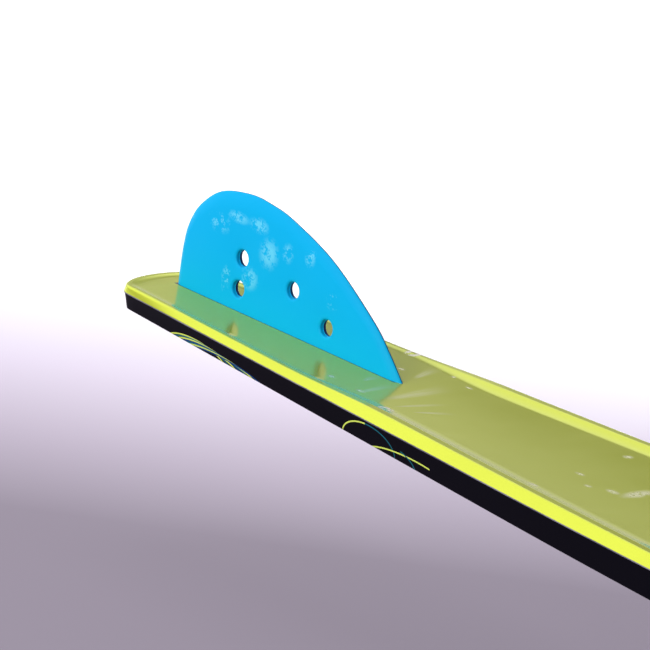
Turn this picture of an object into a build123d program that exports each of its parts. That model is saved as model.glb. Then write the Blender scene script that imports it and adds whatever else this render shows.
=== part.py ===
from build123d import *
import os
from math import cos, pi, radians, sin, sqrt

# A pair of combination water skis that lies base up, tips forward, with its bindings on.
#
# Three frames are used, all in millimetres:
#   world  +X towards the tips, +Y towards ski b, +Z up, origin on the floor under the pair
#   ski    x from the tail end, y across, z up from the running surface at the tail
#   boot   x as in the ski, z away from the top sheet, as the skier sees it
# The ski rests on the rim of its heel cup and on its tip, so its tail is clear of the floor.

# The pair
SPACING = 450.0  # between the two centre lines
SKIS = {"a": -SPACING / 2, "b": SPACING / 2}

# Plan of one ski
LENGTH = 1700.0
TAIL_HALF = 33.2  # half width that the straight sides have when carried to the tail end
TAIL_SPREAD = 0.091  # growth of the half width per millimetre of the tail
TAIL_ROUND = 16.0  # length of the half ellipse that rounds the tail
TAPER_END = 330.0  # where the straight sides of the tail end
WIDEST = 1100.0
NOSE_START = 1180.0
MAX_HALF = 84.0
NOSE_FULLNESS = 2.3
NOSE_POINT = 2.1

# Side view and section of one ski
TAIL_THICK = 12.4
MID_THICK = 19.6  # under the bindings
TIP_THICK = 9.0
FLAT_START = 490.0  # the top sheet is flat and level from here
FLAT_END = 1180.0  # to here
ROCKER_START = 1110.0
ROCKER_POWER = 2.2
BEVEL_DEPTH = 3.2  # height of the bevelled lower edge, which is the base plate's thickness
BEVEL_TAIL = 0.6
BEVEL_GROWTH = 0.0165
BEVEL_MAX = 5.5
RAIL_TOP = 2.0
TUNNEL_START = 165.0  # the shallow tunnel between the rails deepens from here
TUNNEL_END = 330.0  # to here
RAIL_RISE = (0.8, 2.2)  # the rails' height over the running surface, at the tail and ahead
RAIL_SLOPE = (2.6, 12.0)  # width of the rails' inner slope, at the tail and ahead
SIDE_LEAN = 3.0  # the side walls lean in by this much towards the top sheet
CAP_SIDE = 2.4
CAP_TOP = 1.8
CORE_TAIL_GAP = 6.0
CORE_TIP_GAP = 24.0

# Fin, in ski x and z
FIN_REAR = 18.4
FIN_ROOT = 175.0
FIN_DEPTH = 62.5
FIN_THICK = 5.2
FIN_HOLE_R = 4.6
FIN_HOLES = [(47.0, 28.1), (47.0, 11.5), (88.0, 23.1), (116.4, 11.4)]
FIN_SCREW_X = [22.0, 82.0, 150.0]
FIN_SCREW_R = 1.75
FIN_SCREW_BITE = 9.0

# Threaded inserts and screws
INSERT_R = 5.0
INSERT_LENGTH = 11.0
INSERT_BORE_R = 2.5
SCREW_R = 2.4
SCREW_HEAD_R = 4.6
SCREW_HEAD = 2.6
SCREW_BITE = 9.0
POCKET_GAP = 0.05
HOLE_GAP = 0.4
SMALL_SCREW_R = 1.9
SMALL_HEAD_R = 3.6
SMALL_HEAD = 2.0

# Binding plate and its slide rails
PLATE = 3.0
PLATE_FRONT = (930.0, 1105.0)
PLATE_FRONT_HALF = 70.0
TRACK = (680.0, 930.0)
TRACK_HALF = 52.0
RAIL_INNER = 47.0
LIP_INNER = 41.0
LIP_UNDER = 6.1
LIP_OVER = 8.1
SLIDE_GAP = 0.3
CHANNEL_SCREW_X = [695.0, 915.0]
CHANNEL_SCREW_Y = 25.0
FLUSH_HEAD = 1.6

# Toe piece
TOE = (955.0, 1015.0, 1075.0)  # rear edge, middle and front edge
TOE_HALF = (52.0, 54.0, 50.0)
TOE_HEIGHT = (82.0, 74.0, 52.0)
RUBBER = 5.0
ARCH_POWER = 2.4
ARCH_STEPS = 16
FLANGE = 4.0
FRAME = 3.0
FRAME_INNER = 56.0
FRAME_OUTER = 69.0
TOE_SCREW_X = [965.0, 1015.0, 1065.0]
TOE_SCREW_Y = 62.5
TOE_PAD = (938.0, 1092.0)
TOE_PAD_HALF = 44.0
TOE_PAD_THICK = 9.0

# Heel piece, which slides
HEEL_CENTRE = 798.0  # centre of the round back of the heel
HEEL_FRONT = 876.0
DECK = (735.0, 888.0)
DECK_HALF = 60.0
DECK_UNDER = 8.5
DECK_OVER = 11.5
TONGUE = (740.0, 880.0)
CUP_R = (44.0, 45.0, 38.5)
CUP_Z = (0.0, 40.0, 95.0)
CUP_FRONT_HEIGHT = 62.0
HEEL_FLANGE_R = 57.0
HEEL_FRAME_GAP = 1.6
HEEL_PAD_THICK = 6.0
HEEL_SCREW_R = 51.5
HEEL_SCREW_ANGLES = [110.0, 180.0, 250.0]
HEEL_SCREW_X = [820.0, 862.0]

# Locking lever of the heel piece
LEVER_X = 722.0
LEVER_Z = 17.0
LEVER_LENGTH = 58.0
LEVER_HALF = 12.0
LEVER_THICK = 4.0
LEVER_BARREL_R = 5.0
LEVER_FOOT = 13.2
LEVER_FOOT_THICK = 6.0
EAR_INNER = 14.0
EAR_THICK = 4.0
PIN_R = 2.5
PIN_GAP = 0.08

# Rear toe plate, which only ski b carries, and its open inserts on both skis
REAR_PLATE = (500.0, 640.0)
REAR_PLATE_HALF = 69.0
REAR_INSERT_X = [515.0, 625.0]
REAR_INSERT_Y = 56.0
REAR_STRAP = (541.0, 570.0, 599.0)
REAR_STRAP_HALF = (46.0, 47.0, 46.0)
REAR_STRAP_HEIGHT = (66.0, 70.0, 66.0)
REAR_FRAME_INNER = 49.0
REAR_FRAME_OUTER = 62.0
REAR_SCREW_X = [551.0, 589.0]
REAR_SCREW_Y = 55.5
REAR_PAD = (506.0, 634.0)
REAR_PAD_HALF = 40.0
REAR_PAD_THICK = 7.0

BASE_HEIGHT = MID_THICK + DECK_OVER + CUP_Z[2]  # running surface over the floor


def half_width(x):
    """Half of the ski's greatest width at x."""
    taper_half = TAIL_HALF + TAIL_SPREAD * TAPER_END
    if x < TAPER_END:
        half = TAIL_HALF + TAIL_SPREAD * x
    elif x < WIDEST:
        span = WIDEST - TAPER_END
        t = (x - TAPER_END) / span
        half = (2 * t**3 - 3 * t**2 + 1) * taper_half
        half += (t**3 - 2 * t**2 + t) * TAIL_SPREAD * span
        half += (3 * t**2 - 2 * t**3) * MAX_HALF
    elif x < NOSE_START:
        half = MAX_HALF
    else:
        u = (x - NOSE_START) / (LENGTH - NOSE_START)
        half = MAX_HALF * (1 - u**NOSE_FULLNESS) ** (1 / NOSE_POINT)
    if x < TAIL_ROUND:
        half *= sqrt(1 - (1 - x / TAIL_ROUND) ** 2)
    return half


def stations():
    """Places along the ski where its section is drawn, close together at the round ends."""
    tail = [TAIL_ROUND * (1 - cos(radians(angle))) for angle in (12, 25, 40, 55, 72, 90)]
    straight = [35 + 55 * k for k in range(6)]
    middle = [TAPER_END + (NOSE_START - TAPER_END) * k / 12 for k in range(1, 13)]
    nose_length = LENGTH - NOSE_START
    nose = [NOSE_START + nose_length * sin(pi / 2 * k / 12) for k in range(1, 12)]
    tip = [LENGTH - 0.8]
    extra = [FLAT_START]
    return sorted(tail + straight + middle + nose + tip + extra)


STATIONS = stations()
MID_X = (STATIONS[0] + STATIONS[-1]) / 2


def thickness(x):
    """Thickness of the ski at x."""
    if x < FLAT_START:
        return TAIL_THICK + (MID_THICK - TAIL_THICK) * x / FLAT_START
    if x < FLAT_END:
        return MID_THICK
    u = (x - FLAT_END) / (STATIONS[-1] - FLAT_END)
    return MID_THICK + (TIP_THICK - MID_THICK) * u


def rocker(x):
    """Height of the running surface at x: the front of the ski curves down, base up."""
    if x < ROCKER_START:
        return 0.0
    u = (x - ROCKER_START) / (STATIONS[-1] - ROCKER_START)
    return -(BASE_HEIGHT - TIP_THICK) * u**ROCKER_POWER


def bevel(x):
    """Width of the bevelled edge at x."""
    return min(BEVEL_TAIL + BEVEL_GROWTH * x, BEVEL_MAX, 0.3 * half_width(x))


def along_tunnel(pair, x):
    """A value that changes smoothly from the first of a pair to the second as the tunnel deepens."""
    t = min(max((x - TUNNEL_START) / (TUNNEL_END - TUNNEL_START), 0.0), 1.0)
    return pair[0] + (pair[1] - pair[0]) * (3 * t**2 - 2 * t**3)


def mirrored(points):
    """A closed outline from its right half, which runs from one side of y = 0 to the other."""
    return points + [(-y, z) for y, z in reversed(points)]


def section(x, points):
    """A closed wire across the ski at x from its points of y and z."""
    return Wire.make_polygon([(x, y, z + rocker(x)) for y, z in points], close=True)


def base_points(x):
    """Section of the base plate: bevelled edge, rail and the flat running surface."""
    half = half_width(x)
    crest = half - bevel(x)
    top = max(crest - RAIL_TOP, 0.7 * crest)
    floor = max(top - along_tunnel(RAIL_SLOPE, x), 0.3 * crest)
    rise = along_tunnel(RAIL_RISE, x)
    return mirrored([(half, -BEVEL_DEPTH), (crest, rise), (top, rise), (floor, 0.0)])


def cap_points(x):
    """Section of the whole cap: the side walls lean in down to the top sheet."""
    half = half_width(x)
    lean = min(SIDE_LEAN, 0.25 * half)
    return mirrored([(half - lean, -thickness(x)), (half, -BEVEL_DEPTH)])


def core_points(x):
    """Section of the foam core inside the cap."""
    half = half_width(x) - CAP_SIDE
    lean = min(SIDE_LEAN, 0.25 * half)
    return mirrored([(half - lean, -thickness(x) + CAP_TOP), (half, -BEVEL_DEPTH)])


def along(points_at, first=0.0, last=LENGTH):
    """The solid through a section that is drawn at each station from first to last."""
    places = [x for x in STATIONS if first <= x <= last]
    return Solid.make_loft([section(x, points_at(x)) for x in places], ruled=True)


def block(x_range, y_range, z_range):
    """A box from its ranges."""
    low = (x_range[0], y_range[0], z_range[0])
    size = [b - a for a, b in (x_range, y_range, z_range)]
    return Pos(*low) * Box(*size, align=(Align.MIN, Align.MIN, Align.MIN))


def post(x, y, z_range, radius):
    """An upright cylinder."""
    height = z_range[1] - z_range[0]
    return Pos(x, y, z_range[0]) * Cylinder(radius, height, align=(Align.CENTER, Align.CENTER, Align.MIN))


def both_sides(y):
    """The two places across the ski."""
    return (-y, y)


def grid(xs, y):
    """Places in rows along the ski, the same on both sides of its centre line."""
    return [(x, side) for x in xs for side in both_sides(y)]


CHANNEL_SCREWS = grid(CHANNEL_SCREW_X, CHANNEL_SCREW_Y)
TOE_SCREWS = grid(TOE_SCREW_X, TOE_SCREW_Y)
BOOT_INSERTS = CHANNEL_SCREWS + TOE_SCREWS
REAR_INSERTS = grid(REAR_INSERT_X, REAR_INSERT_Y)
REAR_SCREWS = grid(REAR_SCREW_X, REAR_SCREW_Y)


# The ski's own pieces, in the ski frame


def insert_pockets():
    """Cutters for every threaded insert."""
    top = -MID_THICK + INSERT_LENGTH + POCKET_GAP
    radius = INSERT_R + POCKET_GAP
    return [post(x, y, (-MID_THICK - 1, top), radius) for x, y in BOOT_INSERTS + REAR_INSERTS]


def fin_screw_holes(radius):
    """Cutters through the ski for the screws of the fin."""
    return [post(FIN_REAR + x, 0, (-MID_THICK, 1), radius) for x in FIN_SCREW_X]


def base_plate():
    """The coloured base, with bevelled edges and a rail along each side."""
    return Part() + along(base_points) - fin_screw_holes(FIN_SCREW_R + HOLE_GAP)


def foam_core():
    """The foam core, closed in by the cap and the base."""
    core = Part() + along(core_points, CORE_TAIL_GAP, LENGTH - CORE_TIP_GAP)
    return core - fin_screw_holes(FIN_SCREW_R + HOLE_GAP) - insert_pockets()


def top_cap():
    """The black cap: top sheet and side walls in one moulded shell."""
    cap = Part() + along(cap_points)
    cap -= along(core_points, CORE_TAIL_GAP, LENGTH - CORE_TIP_GAP)
    return cap - fin_screw_holes(FIN_SCREW_R + HOLE_GAP) - insert_pockets()


def fin():
    """The moulded fin with its four flow holes."""
    rear = Line((-1.2, 0), (-1.0, 24.0))
    crown = Spline(
        (-1.0, 24.0), (4.4, 41.8), (22.5, 57.7), (45.0, FIN_DEPTH), (80.0, 58.3), (113.0, 46.2), (148.0, 24.7),
        tangents=[(0, 1), (35, -27)],
    )
    front = Line((148.0, 24.7), (FIN_ROOT - 1.6, 1.2))
    toe = Line((FIN_ROOT - 1.6, 1.2), (FIN_ROOT, 0))
    root = Line((FIN_ROOT, 0), (-1.2, 0))
    outline = make_face([rear, crown, front, toe, root])
    for x, z in FIN_HOLES:
        outline -= Pos(x, z) * Circle(FIN_HOLE_R)
    blade = extrude(Plane.XZ * outline, FIN_THICK / 2, both=True)
    screw_room = [post(x, 0, (-1, FIN_SCREW_BITE + 1), FIN_SCREW_R + POCKET_GAP) for x in FIN_SCREW_X]
    return Pos(FIN_REAR, 0, 0) * (blade - screw_room)


def fin_washers():
    """Washers under the heads of the fin screws."""
    rings = Part()
    for x in FIN_SCREW_X:
        seat = -thickness(FIN_REAR + x + SCREW_HEAD_R)
        rings += post(FIN_REAR + x, 0, (seat - 1.0, seat), SCREW_HEAD_R)
        rings -= post(FIN_REAR + x, 0, (seat - 1.0, seat), FIN_SCREW_R + HOLE_GAP)
    return rings


def fin_screws():
    """Screws that come through the ski from the top sheet into the fin."""
    screws = Part()
    for x in FIN_SCREW_X:
        seat = -thickness(FIN_REAR + x + SCREW_HEAD_R) - 1.0
        screws += post(FIN_REAR + x, 0, (seat - SMALL_HEAD, seat), SMALL_HEAD_R)
        screws += post(FIN_REAR + x, 0, (seat, FIN_SCREW_BITE), FIN_SCREW_R)
    return screws


# The binding's pieces, in the boot frame


def inserts(places):
    """Threaded inserts that are moulded into the ski, flush with its top sheet."""
    group = Part()
    for x, y in places:
        group += post(x, y, (-INSERT_LENGTH, 0), INSERT_R)
        group -= post(x, y, (-INSERT_LENGTH + 1, 0), INSERT_BORE_R)
    return group


def screws(places, seat, radius, head_radius, head, bottom):
    """Screws with plain round heads: the head sits at seat and the shank ends at bottom."""
    group = Part()
    for x, y in places:
        group += post(x, y, (seat, seat + head), head_radius)
        group += post(x, y, (bottom, seat), radius)
    return group


def holes(places, z_range, radius):
    """Cutters at several places."""
    return [post(x, y, z_range, radius) for x, y in places]


def arch_wire(x, half, height, foot):
    """An arch across the ski, closed along its foot."""
    points = []
    for k in range(ARCH_STEPS + 1):
        angle = pi * k / ARCH_STEPS
        side = 1 if cos(angle) >= 0 else -1
        y = side * half * abs(cos(angle)) ** (2 / ARCH_POWER)
        points.append((x, y, foot + height * sin(angle) ** (2 / ARCH_POWER)))
    return Wire.make_polygon(points, close=True)


def arch(places, halves, heights, foot):
    """A rubber arch that is open at its front and rear, with a flange along each foot."""
    outer = Part() + Solid.make_loft(
        [arch_wire(x, a, h, foot) for x, a, h in zip(places, halves, heights)], ruled=True
    )
    longer = (places[0] - 1, places[1], places[2] + 1)
    inner = Part() + Solid.make_loft(
        [arch_wire(x, a - RUBBER, h - RUBBER, foot - 0.01) for x, a, h in zip(longer, halves, heights)],
        ruled=True,
    )
    return outer, inner


def flanged_arch(places, halves, heights, flange_half, screw_places, screw_radius):
    """An arch with the flanges that its frames hold down."""
    outer, inner = arch(places, halves, heights, PLATE)
    flange = block((places[0], places[2]), both_sides(flange_half), (PLATE, PLATE + FLANGE))
    shell = outer + flange - inner
    return shell - holes(screw_places, (0, PLATE + FLANGE + 1), screw_radius)


def side_frames(x_range, inner, outer, screw_places, screw_radius):
    """The two bars that clamp the flanges of an arch."""
    low = PLATE + FLANGE
    bars = Part() + block(x_range, (inner, outer), (low, low + FRAME))
    bars += block(x_range, (-outer, -inner), (low, low + FRAME))
    return bars - holes(screw_places, (low - 1, low + FRAME + 1), screw_radius)


def binding_plate():
    """The plate on the top sheet: wide under the toe, with slide rails under the heel."""
    plate = Part() + block(PLATE_FRONT, both_sides(PLATE_FRONT_HALF), (0, PLATE))
    plate += block(TRACK, both_sides(TRACK_HALF), (0, PLATE))
    for side in (1, -1):
        wall = sorted((side * RAIL_INNER, side * TRACK_HALF))
        lip = sorted((side * LIP_INNER, side * TRACK_HALF))
        plate += block((TRACK[0], TRACK[1] - 5), wall, (PLATE, LIP_OVER))
        plate += block((TRACK[0], TRACK[1] - 5), lip, (LIP_UNDER, LIP_OVER))
    plate -= holes(TOE_SCREWS + CHANNEL_SCREWS, (-1, PLATE + 1), SCREW_R + HOLE_GAP)
    return plate - holes(CHANNEL_SCREWS, (PLATE - FLUSH_HEAD - 0.2, PLATE + 1), SCREW_HEAD_R + HOLE_GAP)


def channel_screws():
    """Flush screws that hold the plate down under the heel piece."""
    return screws(CHANNEL_SCREWS, PLATE - FLUSH_HEAD - 0.2, SCREW_R, SCREW_HEAD_R, FLUSH_HEAD, -SCREW_BITE)


def toe_pad():
    """The foam pad under the ball of the foot."""
    pad = block(TOE_PAD, both_sides(TOE_PAD_HALF), (PLATE, PLATE + TOE_PAD_THICK))
    return fillet(pad.edges().filter_by(Axis.Z), 18)


def toe_overlay():
    """The rubber toe piece."""
    return flanged_arch(TOE, TOE_HALF, TOE_HEIGHT, FRAME_OUTER, TOE_SCREWS, SCREW_R + HOLE_GAP)


def toe_frames():
    """The bars that clamp the toe piece."""
    span = (TOE[0] - 3, TOE[2] + 3)
    return side_frames(span, FRAME_INNER, FRAME_OUTER, TOE_SCREWS, SCREW_R + HOLE_GAP)


def toe_screws():
    """Screws through the toe frames, the rubber and the plate into the ski's inserts."""
    return screws(TOE_SCREWS, PLATE + FLANGE + FRAME, SCREW_R, SCREW_HEAD_R, SCREW_HEAD, -SCREW_BITE)


def horseshoe(radius, front, z_range, rear=HEEL_CENTRE):
    """A plate that is round at the back and square at the front."""
    plate = Part() + post(rear, 0, z_range, radius)
    return plate + block((rear, front), both_sides(radius), z_range)


def horseshoe_wire(radius, rear, front, z):
    """The outline of a horseshoe plate at height z, from straight runs and steps of its arc."""
    points = [(front, -radius, z)]
    for k in range(ARCH_STEPS + 1):
        angle = -pi / 2 - pi * k / ARCH_STEPS
        points.append((rear + radius * cos(angle), radius * sin(angle), z))
    return Wire.make_polygon(points + [(front, radius, z)], close=True)


def heel_screw_places():
    """Places of the screws round the heel."""
    places = []
    for angle in HEEL_SCREW_ANGLES:
        turn = radians(angle)
        places.append((HEEL_CENTRE + HEEL_SCREW_R * cos(turn), HEEL_SCREW_R * sin(turn)))
    return places + grid(HEEL_SCREW_X, HEEL_SCREW_R)


HEEL_SCREWS = heel_screw_places()


def heel_slide():
    """The carriage of the heel piece, with a tongue in the rails and ears for the lever."""
    slide = Part() + block(TONGUE, both_sides(RAIL_INNER - 0.4), (PLATE + SLIDE_GAP, LIP_UNDER - SLIDE_GAP))
    slide += block(TONGUE, both_sides(LIP_INNER - 0.5), (PLATE + SLIDE_GAP, DECK_UNDER))
    slide += block(DECK, both_sides(DECK_HALF), (DECK_UNDER, DECK_OVER))
    for side in (1, -1):
        ear = sorted((side * EAR_INNER, side * (EAR_INNER + EAR_THICK)))
        slide += block((LEVER_X - 7, DECK[0] + 2), ear, (DECK_UNDER, LEVER_Z + 6))
    slide -= Pos(LEVER_X, 0, LEVER_Z) * Rot(90, 0, 0) * Cylinder(PIN_R + POCKET_GAP, 60)
    return slide - holes(HEEL_SCREWS, (DECK_UNDER + 0.5, DECK_OVER + 1), SMALL_SCREW_R + POCKET_GAP)


def heel_pad():
    """The foam pad under the heel."""
    return horseshoe(CUP_R[0] - RUBBER - 1, HEEL_FRONT, (DECK_OVER, DECK_OVER + HEEL_PAD_THICK))


def heel_cup():
    """The rubber heel piece: high at the back, low at the front and open upwards."""
    places = list(zip(CUP_R, CUP_Z))
    outer = Part() + Solid.make_loft(
        [horseshoe_wire(r, HEEL_CENTRE, HEEL_FRONT, DECK_OVER + z) for r, z in places], ruled=True
    )
    outer += horseshoe(HEEL_FLANGE_R, HEEL_FRONT, (DECK_OVER, DECK_OVER + FLANGE))
    taller = [(CUP_R[0], -1.0), (CUP_R[1], CUP_Z[1]), (CUP_R[2], CUP_Z[2] + 1)]
    inner = Part() + Solid.make_loft(
        [horseshoe_wire(r - RUBBER, HEEL_CENTRE, HEEL_FRONT + 5, DECK_OVER + z) for r, z in taller],
        ruled=True,
    )
    top = DECK_OVER + CUP_Z[2]
    slope = Polyline(
        (HEEL_CENTRE - 10, top + 1), (HEEL_CENTRE - 10, top), (HEEL_FRONT + 1, DECK_OVER + CUP_FRONT_HEIGHT),
        (HEEL_FRONT + 1, top + 1), close=True,
    )
    front_cut = extrude(Plane.XZ * make_face(slope), 80, both=True)
    cup = outer - inner - front_cut
    return cup - holes(HEEL_SCREWS, (DECK_OVER - 1, DECK_OVER + FLANGE + 1), SMALL_SCREW_R + HOLE_GAP)


def heel_frame():
    """The horseshoe bar that clamps the flange of the heel piece."""
    low = DECK_OVER + FLANGE
    frame = horseshoe(HEEL_FLANGE_R, HEEL_FRONT, (low, low + FRAME))
    frame -= horseshoe(CUP_R[0] + HEEL_FRAME_GAP, HEEL_FRONT + 5, (low - 1, low + FRAME + 1))
    return frame - holes(HEEL_SCREWS, (low - 1, low + FRAME + 1), SMALL_SCREW_R + HOLE_GAP)


def heel_screws():
    """Screws that hold the heel frame and the rubber to the carriage."""
    seat = DECK_OVER + FLANGE + FRAME
    return screws(HEEL_SCREWS, seat, SMALL_SCREW_R, SMALL_HEAD_R, SMALL_HEAD, DECK_UNDER + 1)


def lock_lever():
    """The lever that locks the carriage: paddle, barrel and the foot that grips the plate."""
    lever = Part() + Pos(LEVER_X, 0, LEVER_Z) * Rot(90, 0, 0) * Cylinder(LEVER_BARREL_R, 2 * EAR_INNER - 1)
    arm_z = (LEVER_Z - LEVER_THICK / 2, LEVER_Z + LEVER_THICK / 2)
    lever += block((LEVER_X - LEVER_LENGTH, LEVER_X), both_sides(LEVER_HALF), arm_z)
    foot_x = (LEVER_X - LEVER_FOOT_THICK / 2, LEVER_X + LEVER_FOOT_THICK / 2)
    lever += block(foot_x, both_sides(LEVER_HALF - 2), (LEVER_Z - LEVER_FOOT, LEVER_Z))
    return lever - Pos(LEVER_X, 0, LEVER_Z) * Rot(90, 0, 0) * Cylinder(PIN_R + PIN_GAP, 60)


def lever_pin():
    """The pin of the locking lever."""
    return Pos(LEVER_X, 0, LEVER_Z) * Rot(90, 0, 0) * Cylinder(PIN_R, 2 * (EAR_INNER + EAR_THICK) + 1)


# The rear toe plate of ski b, in the boot frame


def rear_plate():
    """The plate for the rear foot."""
    plate = block(REAR_PLATE, both_sides(REAR_PLATE_HALF), (0, PLATE))
    plate = Part() + fillet(plate.edges().filter_by(Axis.Z), 14)
    plate -= holes(REAR_INSERTS, (-1, PLATE + 1), SCREW_R + HOLE_GAP)
    return plate - holes(REAR_SCREWS, (0.5, PLATE + 1), SMALL_SCREW_R + POCKET_GAP)


def rear_pad():
    """The foam pad under the rear foot."""
    pad = block(REAR_PAD, both_sides(REAR_PAD_HALF), (PLATE, PLATE + REAR_PAD_THICK))
    return fillet(pad.edges().filter_by(Axis.Z), 14)


def rear_strap():
    """The rubber loop that holds the rear foot."""
    radius = SMALL_SCREW_R + HOLE_GAP
    return flanged_arch(REAR_STRAP, REAR_STRAP_HALF, REAR_STRAP_HEIGHT, REAR_FRAME_OUTER, REAR_SCREWS, radius)


def rear_frames():
    """The bars that clamp the rear loop."""
    span = (REAR_STRAP[0] - 2, REAR_STRAP[2] + 2)
    return side_frames(span, REAR_FRAME_INNER, REAR_FRAME_OUTER, REAR_SCREWS, SMALL_SCREW_R + HOLE_GAP)


def rear_strap_screws():
    """Screws that hold the rear frames to their plate."""
    seat = PLATE + FLANGE + FRAME
    return screws(REAR_SCREWS, seat, SMALL_SCREW_R, SMALL_HEAD_R, SMALL_HEAD, 1.0)


def rear_plate_screws():
    """Screws that hold the rear plate in the ski's rear inserts."""
    return screws(REAR_INSERTS, PLATE, SCREW_R, SCREW_HEAD_R, SCREW_HEAD, -SCREW_BITE)


def write(name, shape):
    """Writes one node."""
    shape.label = name
    export_step(shape, os.path.join("parts", name + ".step"))


def main():
    os.makedirs("parts", exist_ok=True)
    boot_to_ski = Pos(0, 0, -MID_THICK) * Rot(180, 0, 0)
    ski_pieces = {
        "base_plate": base_plate(),
        "foam_core": foam_core(),
        "top_cap": top_cap(),
        "fin": fin(),
        "fin_washers": fin_washers(),
        "fin_screws": fin_screws(),
    }
    boot_pieces = {
        "binding_inserts": inserts(BOOT_INSERTS),
        "rear_inserts": inserts(REAR_INSERTS),
        "binding_plate": binding_plate(),
        "plate_screws": channel_screws(),
        "toe_pad": toe_pad(),
        "toe_overlay": toe_overlay(),
        "toe_frames": toe_frames(),
        "toe_screws": toe_screws(),
        "heel_slide": heel_slide(),
        "heel_pad": heel_pad(),
        "heel_cup": heel_cup(),
        "heel_frame": heel_frame(),
        "heel_screws": heel_screws(),
        "lock_lever": lock_lever(),
        "lever_pin": lever_pin(),
    }
    rear_pieces = {
        "rear_plate": rear_plate(),
        "rear_pad": rear_pad(),
        "rear_strap": rear_strap(),
        "rear_frames": rear_frames(),
        "rear_strap_screws": rear_strap_screws(),
        "rear_plate_screws": rear_plate_screws(),
    }
    for ski, side in SKIS.items():
        to_world = Pos(-MID_X, side, BASE_HEIGHT)
        for name, piece in ski_pieces.items():
            write(f"{name}_{ski}", to_world * piece)
        for name, piece in boot_pieces.items():
            write(f"{name}_{ski}", to_world * boot_to_ski * piece)
    for name, piece in rear_pieces.items():
        write(name + "_b", Pos(-MID_X, SKIS["b"], BASE_HEIGHT) * boot_to_ski * piece)


main()
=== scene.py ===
"""Looks for a pair of combination water skis that lie base up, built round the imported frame."""

import logging
import math
from dataclasses import dataclass
from enum import Enum
from typing import Callable, Sequence

import bmesh
import bpy
from mathutils import Matrix, Vector


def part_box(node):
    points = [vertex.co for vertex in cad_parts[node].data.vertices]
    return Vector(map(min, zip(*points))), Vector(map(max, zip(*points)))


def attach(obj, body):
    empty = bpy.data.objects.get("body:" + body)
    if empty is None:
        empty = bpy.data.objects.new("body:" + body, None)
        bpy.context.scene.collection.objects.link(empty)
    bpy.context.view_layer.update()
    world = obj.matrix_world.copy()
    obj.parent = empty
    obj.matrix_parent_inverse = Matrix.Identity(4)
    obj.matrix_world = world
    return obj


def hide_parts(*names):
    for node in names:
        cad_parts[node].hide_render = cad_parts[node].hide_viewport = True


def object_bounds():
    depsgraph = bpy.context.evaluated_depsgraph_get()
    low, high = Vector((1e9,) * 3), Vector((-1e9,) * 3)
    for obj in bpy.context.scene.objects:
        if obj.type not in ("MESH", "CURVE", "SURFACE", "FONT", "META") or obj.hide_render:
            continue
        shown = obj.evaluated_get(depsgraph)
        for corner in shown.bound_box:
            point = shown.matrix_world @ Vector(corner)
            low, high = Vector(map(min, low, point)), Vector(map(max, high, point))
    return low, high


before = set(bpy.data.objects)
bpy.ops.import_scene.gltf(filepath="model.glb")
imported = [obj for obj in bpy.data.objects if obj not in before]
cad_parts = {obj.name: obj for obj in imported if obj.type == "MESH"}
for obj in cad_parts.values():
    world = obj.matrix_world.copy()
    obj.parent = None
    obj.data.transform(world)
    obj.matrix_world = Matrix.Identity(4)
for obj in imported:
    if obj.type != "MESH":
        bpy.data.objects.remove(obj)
CAD_BOX = [list(corner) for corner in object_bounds()]
LOG = logging.getLogger("water_skis")
MERGE = 1e-6
RIM_ROLL = 0.0014
Colour = tuple[float, float, float]
Triple = tuple[float, float, float]
Spot = tuple[float, float]
Profile = Callable[[float, float], list[tuple[float, float]]]
Socket = bpy.types.NodeSocket


def linear(red: int, green: int, blue: int) -> Colour:
    """Turns a colour of 0 to 255 a channel, as a screen shows it, into linear light."""

    def channel(value: int) -> float:
        """Undoes the screen's curve for one channel."""
        part = value / 255
        return part / 12.92 if part <= 0.04045 else ((part + 0.055) / 1.055) ** 2.4

    return channel(red), channel(green), channel(blue)


def smooth(value: float, low: float, high: float) -> float:
    """Rises smoothly from 0 at low to 1 at high."""
    part = min(max((value - low) / (high - low), 0.0), 1.0)
    return part * part * (3 - 2 * part)


def quarter(steps: int, start: int = 1) -> list[tuple[float, float]]:
    """Sine and 1 - cosine of the angles from 0 to 90 degrees in equal steps."""
    turns = (math.pi / 2 * k / steps for k in range(start, steps + 1))
    return [(math.sin(turn), 1 - math.cos(turn)) for turn in turns]


# --------------------------------------------------------------------------- shader tools


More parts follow.
